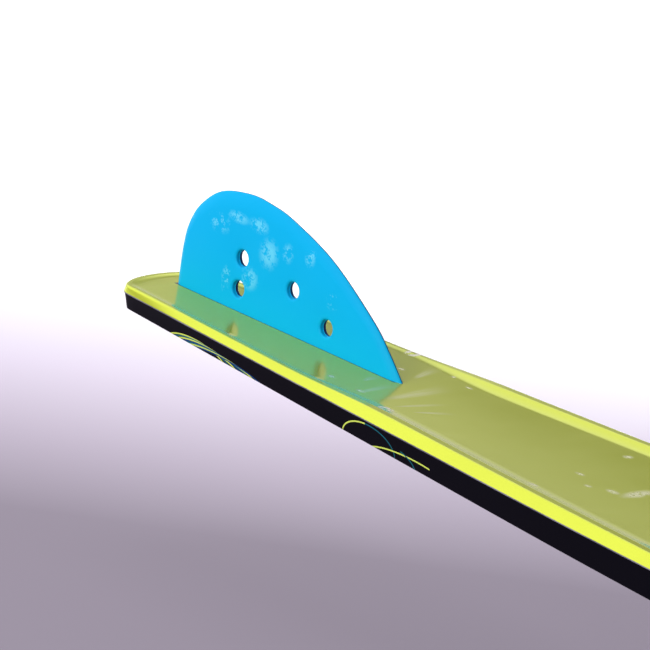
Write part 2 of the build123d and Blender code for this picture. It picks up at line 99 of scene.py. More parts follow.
class Shader:
    """A small wrapper that adds and joins nodes in one node tree."""

    def __init__(self, tree: bpy.types.NodeTree) -> None:
        """Keeps the tree that the nodes go into."""
        self.tree = tree

    def set(self, socket: Socket, value: object) -> None:
        """Links a socket to another one, or sets its own value.

        Args:
            socket: The input that is set.
            value: An output socket, a number or a tuple.
        """
        if isinstance(value, Socket):
            self.tree.links.new(value, socket)
        elif value is not None:
            if isinstance(value, tuple) and len(value) == 3 and socket.type == "RGBA":
                value = (*value, 1.0)
            socket.default_value = value

    def add(self, kind: str, inputs: dict[object, object] | None = None,
            **settings: object) -> bpy.types.Node:
        """Adds a node.

        Args:
            kind: The node's type name.
            inputs: Values or sockets for its inputs, by name or number.
            settings: The node's own properties.

        Returns:
            The node.
        """
        node = self.tree.nodes.new(kind)
        for name, value in settings.items():
            setattr(node, name, value)
        for name, value in (inputs or {}).items():
            self.set(node.inputs[name], value)
        return node

    def math(self, operation: str, first: object, second: object = None, third: object = None) -> Socket:
        """Adds a Math node and returns its output."""
        given = {0: first, 1: second, 2: third}
        return self.add("ShaderNodeMath", given, operation=operation).outputs[0]

    def vector(self, operation: str, first: object, second: object = None) -> Socket:
        """Adds a Vector Math node and returns its output."""
        node = self.add("ShaderNodeVectorMath", {0: first, 1: second}, operation=operation)
        return node.outputs["Value" if operation in ("LENGTH", "DOT_PRODUCT") else "Vector"]

    def mix(self, factor: object, first: object, second: object, blend: str = "MIX") -> Socket:
        """Mixes two colours and returns the result."""
        node = self.add("ShaderNodeMix", data_type="RGBA", blend_type=blend)
        for index, value in ((0, factor), (6, first), (7, second)):
            self.set(node.inputs[index], value)
        return node.outputs[2]

    def ramp(self, value: object, low: float, high: float, out_low: float = 0.0,
             out_high: float = 1.0) -> Socket:
        """Maps a value smoothly from one range to another, clamped."""
        node = self.add("ShaderNodeMapRange", {0: value, 1: low, 2: high, 3: out_low, 4: out_high},
                        interpolation_type="SMOOTHSTEP")
        return node.outputs[0]

    def parts(self, vector: object) -> bpy.types.NodeOutputs:
        """Splits a vector and returns its X, Y and Z."""
        return self.add("ShaderNodeSeparateXYZ", {0: vector}).outputs

    def flat(self, first: object, second: object) -> Socket:
        """Joins two values as the X and Y of a vector."""
        return self.add("ShaderNodeCombineXYZ", {0: first, 1: second}).outputs[0]

    def noise(self, vector: object, scale: float, detail: float = 3.0, roughness: float = 0.55,
              distortion: float = 0.0) -> Socket:
        """Adds a noise texture and returns its value."""
        node = self.add("ShaderNodeTexNoise", {"Vector": vector, "Scale": scale, "Detail": detail,
                                               "Roughness": roughness, "Distortion": distortion})
        return node.outputs["Fac"]

    def group(self, kind: "Effect", inputs: dict[str, object]) -> Socket:
        """Places one of the shared effects.

        Args:
            kind: The effect.
            inputs: Values or sockets for its named inputs.

        Returns:
            The group's one output.
        """
        node = self.add("ShaderNodeGroup", node_tree=EFFECTS[kind])
        for name, value in inputs.items():
            self.set(node.inputs[name], value)
        return node.outputs[0]


class Effect(Enum):
    """The shared shader effects."""

    GRAIN = "moulded_grain"
    PATCH = "rubbed_patch"
    STROKE = "painted_stroke"
    RING = "ring_mark"
    STREAK = "smear_streak"
    DUST = "handling_dust"


def grain_effect(shader: Shader, place: Socket, scale: Socket, blend: Socket) -> Socket:
    """The fine texture of moulded plastic or rubber, as a height."""
    fine = shader.noise(place, scale, 2.0, 0.5)
    coarse = shader.noise(place, shader.math("MULTIPLY", scale, 0.18), 2.0, 0.5)
    return shader.math("ADD", fine, shader.math("MULTIPLY", coarse, blend))


def patch_effect(shader: Shader, place: Socket, centre: Socket, reach: Socket, scale: Socket,
                 cover: Socket) -> Socket:
    """A rubbed, mottled patch: an oval that noise breaks up."""
    scaled = shader.vector("DIVIDE", shader.vector("SUBTRACT", place, centre), reach)
    inside = shader.ramp(shader.vector("LENGTH", scaled), 1.1, 0.25)
    speckle = shader.noise(place, scale, 4.0, 0.65)
    blotch = shader.noise(place, shader.math("MULTIPLY", scale, 0.3), 3.0, 0.5)
    edge = shader.math("MULTIPLY_ADD", cover, -0.3, 0.42)
    broken = shader.ramp(shader.math("MULTIPLY", speckle, blotch), edge, shader.math("ADD", edge, 0.1))
    return shader.math("MULTIPLY", broken, inside)


def stroke_effect(shader: Shader, place: Socket, centre: Socket, reach: Socket, width: Socket, start: Socket,
                  end: Socket) -> Socket:
    """A thin painted line along an arc of an ellipse, in the X and Y of its vector."""
    scaled = shader.parts(shader.vector("DIVIDE", shader.vector("SUBTRACT", place, centre), reach))
    flat = shader.flat(scaled[0], scaled[1])
    radius = shader.vector("LENGTH", flat)
    squared = shader.vector("MULTIPLY", flat, flat)
    slope = shader.parts(shader.vector("DIVIDE", shader.vector("DIVIDE", squared, reach), reach))
    gradient = shader.math("SQRT", shader.math("ADD", slope[0], slope[1]))
    gap = shader.math("ABSOLUTE", shader.math("SUBTRACT", radius, 1.0))
    away = shader.math("DIVIDE", gap, shader.math("MAXIMUM", gradient, 0.001))
    line = shader.ramp(away, shader.math("MULTIPLY", width, 1.5), width)
    after = shader.math("GREATER_THAN", scaled[0], start)
    before = shader.math("LESS_THAN", scaled[0], end)
    upper = shader.math("GREATER_THAN", scaled[1], 0.0)
    limits = shader.math("MULTIPLY", shader.math("MULTIPLY", after, before), upper)
    return shader.math("MULTIPLY", line, limits)


def ring_effect(shader: Shader, place: Socket, centre: Socket, radius: Socket, width: Socket) -> Socket:
    """A thin ring mark, broken up along its way."""
    offset = shader.parts(shader.vector("SUBTRACT", place, centre))
    distance = shader.vector("LENGTH", shader.flat(offset[0], offset[1]))
    gap = shader.math("ABSOLUTE", shader.math("SUBTRACT", distance, radius))
    wobble = shader.noise(place, 350.0, 2.0)
    return shader.math("MULTIPLY", shader.ramp(gap, width, 0.0), shader.ramp(wobble, 0.34, 0.5))


def streak_effect(shader: Shader, place: Socket, start: Socket, turn: Socket, length: Socket,
                  width: Socket) -> Socket:
    """A soft smear that starts at a point and fades along a direction in X and Y."""
    offset = shader.vector("SUBTRACT", place, start)
    turned = shader.add("ShaderNodeVectorRotate", {"Vector": offset, "Axis": (0.0, 0.0, 1.0), "Angle": turn},
                        rotation_type="AXIS_ANGLE").outputs[0]
    split = shader.parts(turned)
    part = shader.math("DIVIDE", split[0], length)
    along = shader.math("MULTIPLY", shader.ramp(part, 0.0, 0.25), shader.ramp(part, 1.0, 0.3))
    spread = shader.math("MAXIMUM", shader.math("MULTIPLY_ADD", part, 0.9, 0.25), 0.1)
    side = shader.math("DIVIDE", shader.math("ABSOLUTE", split[1]), shader.math("MULTIPLY", width, spread))
    hair = shader.noise(shader.vector("MULTIPLY", turned, (40.0, 900.0, 1.0)), 1.0, 3.0)
    body = shader.math("MULTIPLY", along, shader.ramp(side, 1.0, 0.1))
    return shader.math("MULTIPLY", body, shader.ramp(hair, 0.3, 0.6, 0.35, 1.0))


def dust_effect(shader: Shader, place: Socket, scale: Socket) -> Socket:
    """Uneven handling marks over a whole surface, as a value round 0.5."""
    return shader.noise(place, scale, 5.0, 0.6)


EFFECTS: dict[Effect, bpy.types.NodeTree] = {}


def make_effects() -> None:
    """Builds every shared effect once, each as a node group with one output."""
    effects: dict[Effect, tuple[Callable[..., Socket], tuple[str, ...], dict[str, float]]] = {
        Effect.GRAIN: (grain_effect, ("Vector",), {"Scale": 400.0, "Blend": 0.5}),
        Effect.PATCH: (patch_effect, ("Vector", "Centre", "Reach"), {"Scale": 900.0, "Cover": 0.5}),
        Effect.STROKE: (stroke_effect, ("Vector", "Centre", "Reach"),
                        {"Width": 0.0004, "From": -1.0, "To": 1.0}),
        Effect.RING: (ring_effect, ("Vector", "Centre"), {"Radius": 0.003, "Width": 0.0007}),
        Effect.STREAK: (streak_effect, ("Vector", "Start"), {"Turn": 0.0, "Length": 0.08, "Width": 0.004}),
        Effect.DUST: (dust_effect, ("Vector",), {"Scale": 12.0}),
    }
    for effect, (draw, vectors, values) in effects.items():
        tree = bpy.data.node_groups.new(effect.value, "ShaderNodeTree")
        for name in vectors:
            tree.interface.new_socket(name, in_out="INPUT", socket_type="NodeSocketVector")
        for name, default in values.items():
            number = tree.interface.new_socket(name, in_out="INPUT", socket_type="NodeSocketFloat")
            number.default_value = default
        tree.interface.new_socket("Mask", in_out="OUTPUT", socket_type="NodeSocketFloat")
        shader = Shader(tree)
        given = shader.add("NodeGroupInput").outputs
        made = draw(shader, *(given[k] for k in range(len(vectors) + len(values))))
        shader.add("NodeGroupOutput", {0: made})
        EFFECTS[effect] = tree


class Material:
    """A material under construction: its shader tools and its Principled BSDF."""

    def __init__(self, name: str, colour: Colour, roughness: float, **constants: object) -> None:
        """Makes the material.

        Args:
            name: Its name.
            colour: Base colour, linear.
            roughness: Base roughness.
            constants: Other Principled inputs that are the same all over, with _ for spaces.
        """
        self.data = bpy.data.materials.new(name)
        self.data.use_nodes = True
        self.data.diffuse_color = (*colour, 1.0)
        self.shader = Shader(self.data.node_tree)
        self.bsdf = self.data.node_tree.nodes["Principled BSDF"]
        self.put("Base Color", colour)
        self.put("Roughness", roughness)
        for key, value in constants.items():
            self.put(key.replace("_", " "), value)

    def put(self, name: str, value: object) -> None:
        """Sets or links one input of the Principled BSDF."""
        self.shader.set(self.bsdf.inputs[name], value)

    def place(self, origin: Vector | None = None) -> Socket:
        """Returns Object coordinates, measured from an origin."""
        node = self.shader.add("ShaderNodeTexCoord")
        if origin is None:
            return node.outputs["Object"]
        mapping = self.shader.add("ShaderNodeMapping", {"Vector": node.outputs["Object"]})
        mapping.inputs["Location"].default_value = -origin
        return mapping.outputs[0]

    def bump(self, height: object, strength: float, distance: float) -> None:
        """Feeds a height to the normal."""
        values = {"Height": height, "Strength": strength, "Distance": distance}
        node = self.shader.add("ShaderNodeBump", values)
        self.put("Normal", node.outputs[0])


# --------------------------------------------------------------------------- mesh tools


def sweep(bm: bmesh.types.BMesh, rows: Sequence[Sequence[Vector]],
          closed: bool = False) -> list[bmesh.types.BMFace]:
    """Draws the first row of points and extrudes it through the others.

    Args:
        bm: The mesh that the faces go into.
        rows: Rows with the same number of points.
        closed: Whether each row is a loop.

    Returns:
        The faces, row by row.
    """
    verts = [bm.verts.new(point) for point in rows[0]]
    edges = [bm.edges.new(pair) for pair in zip(verts, verts[1:])]
    if closed:
        edges.append(bm.edges.new((verts[-1], verts[0])))
    made: list[bmesh.types.BMFace] = []
    for row in rows[1:]:
        grown = bmesh.ops.extrude_edge_only(bm, edges=edges)["geom"]
        fresh = {item for item in grown if isinstance(item, bmesh.types.BMVert)}
        faces = [item for item in grown if isinstance(item, bmesh.types.BMFace)]
        made.extend(faces)
        following = []
        for vert, point in zip(verts, row):
            twin = next(edge.other_vert(vert) for edge in vert.link_edges if edge.other_vert(vert) in fresh)
            twin.co = point
            following.append(twin)
        verts = following
        edges = [bm.edges.get(pair) for pair in zip(verts, verts[1:])]
        if closed:
            edges.append(bm.edges.get((verts[-1], verts[0])))
    return made


def tidy(bm: bmesh.types.BMesh, sharp_deg: float = 32.0, merge: float = 1e-6) -> None:
    """Merges doubles, turns the faces outwards and marks the sharp edges."""
    bmesh.ops.remove_doubles(bm, verts=bm.verts, dist=merge)
    bmesh.ops.dissolve_degenerate(bm, edges=bm.edges, dist=merge)
    bmesh.ops.recalc_face_normals(bm, faces=bm.faces)
    limit = math.radians(sharp_deg)
    for face in bm.faces:
        face.smooth = True
    for edge in bm.edges:
        edge.smooth = edge.is_manifold and edge.calc_face_angle(0.0) < limit


@dataclass(frozen=True)
class Finish:
    """Where a piece goes: its body, material slot and the CAD nodes that it stands for."""

    body: str
    slot: str
    replaces: tuple[str, ...] = ()


def publish(name: str, bm: bmesh.types.BMesh, finish: Finish,
            materials: Sequence[bpy.types.Material]) -> bpy.types.Object:
    """Turns a bmesh into a piece of the object.

    Args:
        name: The piece's name.
        bm: Its mesh, which is freed.
        finish: Its body, slot and the CAD nodes that it replaces.
        materials: Its materials, in the order of the faces' material numbers.

    Returns:
        The piece.
    """
    mesh = bpy.data.meshes.new(name)
    bm.to_mesh(mesh)
    bm.free()
    for material in materials:
        mesh.materials.append(material)
    piece = bpy.data.objects.new(name, mesh)
    bpy.context.scene.collection.objects.link(piece)
    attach(piece, finish.body)
    if finish.replaces:
        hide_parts(*finish.replaces)
    LOG.info("%s: %d faces on %s", name, len(mesh.polygons), finish.body)
    return piece


# --------------------------------------------------------------------------- the ski's shape


@dataclass(frozen=True)
class Plan:
    """The plan, side view and section of one ski, in metres from its tail end."""

    length: float = 1.7
    tail_half: float = 0.0332
    tail_spread: float = 0.091
    tail_round: float = 0.016
    taper_end: float = 0.33
    widest: float = 1.1
    nose_start: float = 1.18
    max_half: float = 0.084
    nose_fullness: float = 2.3
    nose_point: float = 2.1
    tail_thick: float = 0.0124
    mid_thick: float = 0.0196
    tip_thick: float = 0.009
    flat_start: float = 0.49
    flat_end: float = 1.18
    rocker_start: float = 1.11
    rocker_power: float = 2.2
    bevel_depth: float = 0.0032
    tunnel: tuple[float, float] = (0.150, 0.225)
    rail_top: float = 0.002

    def half_width(self, x: float) -> float:
        """Half of the greatest width at x."""
        edge = self.tail_half + self.tail_spread * self.taper_end
        if x < self.taper_end:
            half = self.tail_half + self.tail_spread * x
        elif x < self.widest:
            span = self.widest - self.taper_end
            t = (x - self.taper_end) / span
            half = (2 * t**3 - 3 * t**2 + 1) * edge + (t**3 - 2 * t**2 + t) * self.tail_spread * span
            half += (3 * t**2 - 2 * t**3) * self.max_half
        elif x < self.nose_start:
            half = self.max_half
        else:
            u = min((x - self.nose_start) / (self.length - self.nose_start), 1.0)
            half = self.max_half * (1 - u**self.nose_fullness) ** (1 / self.nose_point)
        if x < self.tail_round:
            half *= math.sqrt(max(1 - (1 - x / self.tail_round) ** 2, 0.0))
        return half

    def thickness(self, x: float) -> float:
        """Thickness at x."""
        if x < self.flat_start:
            return self.tail_thick + (self.mid_thick - self.tail_thick) * x / self.flat_start
        if x < self.flat_end:
            return self.mid_thick
        u = (x - self.flat_end) / (self.length - self.flat_end)
        return self.mid_thick + (self.tip_thick - self.mid_thick) * u

    def rocker(self, x: float, drop: float) -> float:
        """Height of the running surface at x, when the tip is lower by drop."""
        if x < self.rocker_start:
            return 0.0
        return -drop * ((x - self.rocker_start) / (self.length - self.rocker_start)) ** self.rocker_power

    def narrowing(self, x: float) -> float:
        """Scale of the edge's details, which shrink towards the round tip."""
        return 1.0 - 0.62 * smooth(x, 1.45, 1.69)

    def bevel(self, x: float) -> float:
        """Width of the bevelled edge at x."""
        return min(0.0006 + 0.0165 * x, 0.0046) * self.narrowing(x)

    def rail_rise(self, x: float) -> float:
        """Height of the rails over the running surface at x."""
        return (0.00045 + 0.00140 * smooth(x, *self.tunnel)) * self.narrowing(x)

    def rail_slope(self, x: float) -> float:
        """Width of the rails' inner slope at x."""
        return (0.0052 + 0.0053 * smooth(x, *self.tunnel)) * self.narrowing(x)

    def outline(self) -> list[tuple[Vector, Vector]]:
        """Points of one half of the plan, from the tail to the tip, each with its inward normal."""
        tail = [self.tail_round * (1 - math.cos(math.pi / 2 * k / 16)) for k in range(17)]
        near = [self.tail_round + (self.taper_end - self.tail_round) * k / 48 for k in range(1, 49)]
        middle = [self.taper_end + (self.nose_start - self.taper_end) * k / 48 for k in range(1, 49)]
        nose = [self.nose_start + (self.length - self.nose_start) * math.sin(math.pi / 2 * k / 40)
                for k in range(1, 41)]
        places = [Vector((x, self.half_width(x))) for x in tail + near + middle + nose]
        places[0].y = places[-1].y = 0.0
        turned = []
        for index, place in enumerate(places):
            before = places[max(index - 1, 0)]
            after = places[min(index + 1, len(places) - 1)]
            along = (after - before).normalized()
            inward = Vector((along.y, -along.x))
            if index in (0, len(places) - 1):
                inward = Vector((1.0 if index == 0 else -1.0, 0.0))
            turned.append((place, inward))
        return turned


@dataclass
class SkiShell:
    """The base and the cap of one ski."""

    ski: str
    plan: Plan
    seam: float = 0.0006
    undercut: float = 0.0052
    lean: float = 0.003
    side_corner: float = 0.0011
    tail_corner: float = 0.0042

    def __post_init__(self) -> None:
        """Reads the ski's place from its CAD nodes."""
        low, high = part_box("fin_" + self.ski)
        cap_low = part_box("top_cap_" + self.ski)[0]
        self.origin = Vector((cap_low.x - 0.00035, (low.y + high.y) / 2, low.z))
        self.drop = low.z - cap_low.z - self.plan.tip_thick

    def base_profile(self, x: float) -> list[tuple[float, float]]:
        """Inward offset and height of each level of the base, from its lower edge to its middle."""
        plan = self.plan
        bevel, rise, slope, top = plan.bevel(x), plan.rail_rise(x), plan.rail_slope(x), plan.rail_top
        top *= plan.narrowing(x)
        levels = [(0.0, -plan.bevel_depth), (0.04 * bevel, -plan.bevel_depth + 0.0003)]
        levels.append((0.82 * bevel, rise - 0.0011))
        for k in range(1, 5):
            angle = math.pi / 2 * k / 4
            inward = 0.82 * bevel + 0.0014 * (1 - math.cos(angle))
            levels.append((inward, rise - 0.0011 * (1 - math.sin(angle))))
        outer, wide = levels[-1][0], top * (0.8 + 1.2 * smooth(x, *plan.tunnel))
        levels += [(outer + wide * share, rise) for share in (0.1, 0.5, 0.9, 1.0)]
        crest = outer + wide
        for k in range(1, 9):
            part = k / 8
            levels.append((crest + slope * part, rise * (1 - part) ** 1.8))
        return levels

    def cap_profile(self, x: float, tailward: float) -> list[tuple[float, float]]:
        """Inward offset and height of each level of the cap, from its upper edge to the top sheet."""
        plan = self.plan
        deep = plan.thickness(x)
        corner = self.side_corner + (self.tail_corner - self.side_corner) * tailward
        lean = self.lean + (self.undercut - self.lean) * tailward
        top = -plan.bevel_depth
        levels = [(0.0, top), (-0.00005, top - self.seam / 2), (0.0, top - self.seam)]
        levels.append((0.00035, top - self.seam - 0.0001))
        side = lean * 0.75
        levels.append((side, -deep + corner))
        for k in range(1, 6):
            angle = math.pi / 2 * k / 5
            levels.append((side + corner * (1 - math.cos(angle)), -deep + corner * (1 - math.sin(angle))))
        return levels

    def rows(self, profile: Profile) -> list[list[Vector]]:
        """Places each level of a profile round half of the plan.

        Args:
            profile: Gives the levels at a place and for how far the edge faces the tail.

        Returns:
            One row for each point of the plan.
        """
        rows = []
        for place, inward in self.plan.outline():
            tailward = smooth(inward.x, 0.45, 0.97) if place.x < 0.1 else 0.0
            levels = profile(place.x, tailward)
            row = []
            for offset, height in levels:
                spot = place + inward * offset
                spot.y = max(spot.y, 0.0)
                row.append(Vector((spot.x, spot.y, height + self.plan.rocker(spot.x, self.drop))))
            last = row[-1]
            row.append(Vector((last.x, 0.0, last.z)))
            floor = -self.plan.bevel_depth
            under = Vector((row[0].x, 0.0, floor + self.plan.rocker(row[0].x, self.drop)))
            rows.append([under] + row)
        return rows

    def build(self, name: str, rows: list[list[Vector]], finish: Finish,
              materials: Sequence[bpy.types.Material],
              seam_level: int | None = None) -> bpy.types.Object:
        """Sweeps half of a shell, mirrors it and puts it in place.

        Args:
            name: The piece's name.
            rows: Its points.
            finish: Its body, slot and replaced nodes.
            materials: Its materials.
            seam_level: The number of levels at the start that take the second material, if any.

        Returns:
            The piece.
        """
        bm = bmesh.new()
        faces = sweep(bm, rows)
        # The cap's narrow strip next to the base's bevel takes the second material, a light grey painted
        # highlight along that edge.
        if seam_level is not None:
            for face in faces:
                heights = [vert.co.z - self.plan.rocker(vert.co.x, self.drop) for vert in face.verts]
                limit = -self.plan.bevel_depth - self.seam - 0.00002
                if max(heights) <= -self.plan.bevel_depth + 1e-6 and min(heights) >= limit:
                    face.material_index = 1
        bmesh.ops.mirror(bm, geom=bm.verts[:] + bm.edges[:] + bm.faces[:], axis="Y", merge_dist=1e-6)
        tidy(bm, 40.0, 2e-6)
        bmesh.ops.translate(bm, verts=bm.verts, vec=self.origin)
        return publish(name, bm, finish, materials)

    def make(self, finishes: "Finishes") -> None:
        """Builds the base and the cap."""
        body = "ski_" + self.ski
        base_rows = self.rows(lambda x, tailward: self.base_profile(x))
        self.build("base_skin_" + self.ski, base_rows, Finish(body, "base", ("base_plate_" + self.ski,)),
                   [finishes.base[self.ski]])
        cap_rows = self.rows(self.cap_profile)
        self.build("cap_shell_" + self.ski, cap_rows, Finish(body, "cap", ("top_cap_" + self.ski,)),
                   [finishes.cap[self.ski], finishes.seam], seam_level=2)


@dataclass
class FinBlade:
    """The moulded fin: a flat blade with a sharpened free edge and four flow holes."""

    ski: str
    root: float = 0.175
    half_thick: float = 0.0026
    edge_half: float = 0.0006
    front_bevel: float = 0.0055
    rear_bevel: float = 0.0045
    crown_bevel: float = 0.0090
    hole_radius: float = 0.0046
    holes: tuple[Spot, ...] = ((0.047, 0.0281), (0.047, 0.0115), (0.088, 0.0231), (0.1164, 0.0114))
    edge_section: tuple[tuple[float, float], ...] = (
        (0.0, 0.0), (0.012, 0.0003), (0.05, 0.0006), (0.14, 0.0010), (0.3, 0.0015), (0.5, 0.0020),
        (0.75, 0.0024),
        (1.0, 0.0026),
    )
    outline_knots: tuple[tuple[float, float], ...] = (
        (-0.0012, 0.0), (-0.0015, 0.012), (-0.0010, 0.024), (0.0010, 0.0342), (0.0076, 0.0461),
        (0.0225, 0.0577),
        (0.045, 0.0625), (0.062, 0.0618), (0.080, 0.0583), (0.113, 0.0462), (0.148, 0.0247), (0.163, 0.0118),
        (0.1735, 0.0012),
    )

    def __post_init__(self) -> None:
        """Reads the fin's place from its CAD node."""
        low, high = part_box("fin_" + self.ski)
        self.origin = Vector((low.x - self.outline_knots[1][0], (low.y + high.y) / 2, low.z))

    def free_edge(self) -> list[Vector]:
        """Smooth points along the fin's free edge, from its rear root to its front root."""
        knots = [Vector(knot) for knot in self.outline_knots]
        padded = [2 * knots[0] - knots[1]] + knots + [2 * knots[-1] - knots[-2]]
        points = []
        for index in range(1, len(padded) - 2):
            before, start, end, after = padded[index - 1:index + 3]
            steps = max(int((end - start).length / 0.0024), 2)
            for k in range(steps):
                t = k / steps
                spot = 0.5 * (2 * start + (end - before) * t
                              + (2 * before - 5 * start + 4 * end - after) * t**2
                              + (3 * start - before - 3 * end + after) * t**3)
                points.append(spot)
        points.append(knots[-1])
        return points

    def level(self, points: Sequence[Vector], depth: float, half: float) -> list[Vector]:
        """Moves the free edge inwards, and keeps it above the root line.

        Args:
            points: The free edge.
            depth: How far, from 0 at the edge to 1 at the flat face.
            half: Half of the thickness there.

        Returns:
            The moved points, in X, Y and Z.
        """
        row = []
        count = len(points)
        for index, point in enumerate(points):
            along = (points[min(index + 1, count - 1)] - points[max(index - 1, 0)]).normalized()
            part = index / (count - 1)
            width = self.rear_bevel + (self.crown_bevel - self.rear_bevel) * smooth(part, 0.1, 0.3)
            width += (self.front_bevel - self.crown_bevel) * smooth(part, 0.5, 0.85)
            moved = point + Vector((along.y, -along.x)) * width * depth
            if moved.y < 0.0 or index in (0, count - 1):
                moved -= along * (moved.y / along.y)
            row.append(Vector((moved.x, -half, moved.y)))
        return row

    def hole_levels(self) -> list[tuple[float, float]]:
        """Radius and depth from the face of each level of a hole, from its rim to the parting line."""
        radius = self.hole_radius
        rim = [(radius + 0.0017 * (1 - math.sin(a)), 0.0010 * (1 - math.cos(a))) for a in
               (math.pi / 2 * k / 5 for k in range(6))]
        return rim + [(radius - 0.00005, 0.0022), (radius - 0.0003, self.half_thick - 0.0001),
                      (radius - 0.0004, self.half_thick)]

    def make(self, finishes: "Finishes") -> None:
        """Builds the fin."""
        bm = bmesh.new()
        edge = self.free_edge()
        rows = [self.level(edge, depth, half) for depth, half in self.edge_section]
        sweep(bm, rows)
        bmesh.ops.remove_doubles(bm, verts=bm.verts, dist=0.00005)
        face_edges = [item for item in bm.edges if item.is_boundary
                      and all(abs(vert.co.y + self.half_thick) < 1e-7 for vert in item.verts)]
        rooted = {vert for item in face_edges for vert in item.verts if vert.co.z < MERGE}
        loose = sorted(rooted, key=lambda vert: vert.co.x)
        rim_edges = face_edges + [bm.edges.new((loose[0], loose[-1]))]
        for x, z in self.holes:
            rings = []
            for radius, depth in self.hole_levels():
                rings.append([Vector((x + radius * math.cos(math.tau * k / 40), -self.half_thick + depth,
                                      z + radius * math.sin(math.tau * k / 40))) for k in range(40)])
            start = len(bm.verts)
            sweep(bm, rings, closed=True)
            bm.verts.ensure_lookup_table()
            ring = bm.verts[start:start + 40]
            rim_edges += [bm.edges.get(pair) for pair in zip(ring, ring[1:] + ring[:1])]
        bmesh.ops.triangle_fill(bm, edges=rim_edges, use_beauty=True, use_dissolve=False)
        bmesh.ops.mirror(bm, geom=bm.verts[:] + bm.edges[:] + bm.faces[:], axis="Y", merge_dist=1e-6)
        open_edges = [item for item in bm.edges if item.is_boundary]
        bmesh.ops.holes_fill(bm, edges=open_edges, sides=0)
        tidy(bm, 24.0)
        # Painted shade: faces of each hole's rear half take the dark navy second material, which stands in for
        # the shade inside the hole; faces at the thin free edge take it too, as a dark edge line.
        for face in bm.faces:
            middle = face.calc_center_median()
            reach = min(math.hypot(middle.x - x, middle.z - z) for x, z in self.holes)
            behind = reach < self.hole_radius + 0.0001 and middle.y > 0.0001
            if behind or max(abs(vert.co.y) for vert in face.verts) < self.edge_half * 0.52:
                face.material_index = 1
        bmesh.ops.translate(bm, verts=bm.verts, vec=self.origin)
        publish("fin_blade_" + self.ski, bm, Finish("ski_" + self.ski, "fin", ("fin_" + self.ski,)),
                [finishes.fin[self.ski], finishes.fin_shade])


# --------------------------------------------------------------------------- the bindings


def softened(node: str, width: float, finish: Finish, material: bpy.types.Material,
             segments: int = 2) -> bpy.types.Object:
    """Copies a CAD node's mesh, merges it and rounds its sharp edges.

    Args:
        node: The CAD node that the piece stands for.
        width: Width of the rounded edges.
        finish: Body and slot of the piece.
        material: Its material.
        segments: Steps of each rounded edge.

    Returns:
        The piece.
    """
    bm = bmesh.new()
    bm.from_mesh(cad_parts[node].data)
    bmesh.ops.remove_doubles(bm, verts=bm.verts, dist=1e-6)
    bmesh.ops.dissolve_limit(bm, angle_limit=math.radians(1.0), verts=bm.verts, edges=bm.edges)
    sharp = [edge for edge in bm.edges if edge.is_manifold and edge.calc_face_angle(0.0) > math.radians(38)]
    bmesh.ops.bevel(bm, geom=sharp, offset=width, offset_type="OFFSET", segments=segments, profile=0.5,
                    affect="EDGES", clamp_overlap=True, material=-1)
    bmesh.ops.triangulate(bm, faces=[face for face in bm.faces if len(face.verts) > 4])
    tidy(bm, 50.0)
    return publish(node + "_shaped", bm, Finish(finish.body, finish.slot, (node,)), [material])


@dataclass(frozen=True)
class BootPlace:
    """The boot frame of one ski: x from the tail, z away from the top sheet, which faces down."""

    origin: Vector

    @classmethod
    def of(cls, ski: str) -> "BootPlace":
        """Reads the frame from the binding plate of a ski."""
        low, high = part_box("binding_plate_" + ski)
        return cls(Vector((low.x - 0.68, (low.y + high.y) / 2, high.z)))

    def settle(self, bm: bmesh.types.BMesh) -> None:
        """Moves a mesh from the boot frame to its place."""
        turned = Matrix.Translation(self.origin) @ Matrix.Rotation(math.pi, 4, "X")
        bmesh.ops.transform(bm, matrix=turned, verts=bm.verts)


def mould(bm: bmesh.types.BMesh, thickness: float, outward: Vector) -> None:
    """Makes a sheet of faces into a rubber wall with rolled rims.

    Args:
        bm: The sheet, which is the wall's outside.
        thickness: Thickness of the rubber, which is added on the inside.
        outward: The way that the face farthest along it looks.
    """
    bmesh.ops.recalc_face_normals(bm, faces=bm.faces)
    farthest = max(bm.faces, key=lambda face: face.calc_center_median().dot(outward))
    if farthest.normal.dot(outward) < 0:
        bmesh.ops.reverse_faces(bm, faces=bm.faces)
    bmesh.ops.solidify(bm, geom=bm.faces[:], thickness=thickness)
    bmesh.ops.remove_doubles(bm, verts=bm.verts, dist=MERGE)
    bmesh.ops.recalc_face_normals(bm, faces=bm.faces)
    rim = [edge for edge in bm.edges if edge.is_manifold and edge.calc_face_angle(0.0) > math.radians(60)]
    bmesh.ops.bevel(bm, geom=rim, offset=RIM_ROLL, offset_type="OFFSET", segments=3, profile=0.5,
                    affect="EDGES", clamp_overlap=True, material=-1)
    tidy(bm, 40.0)


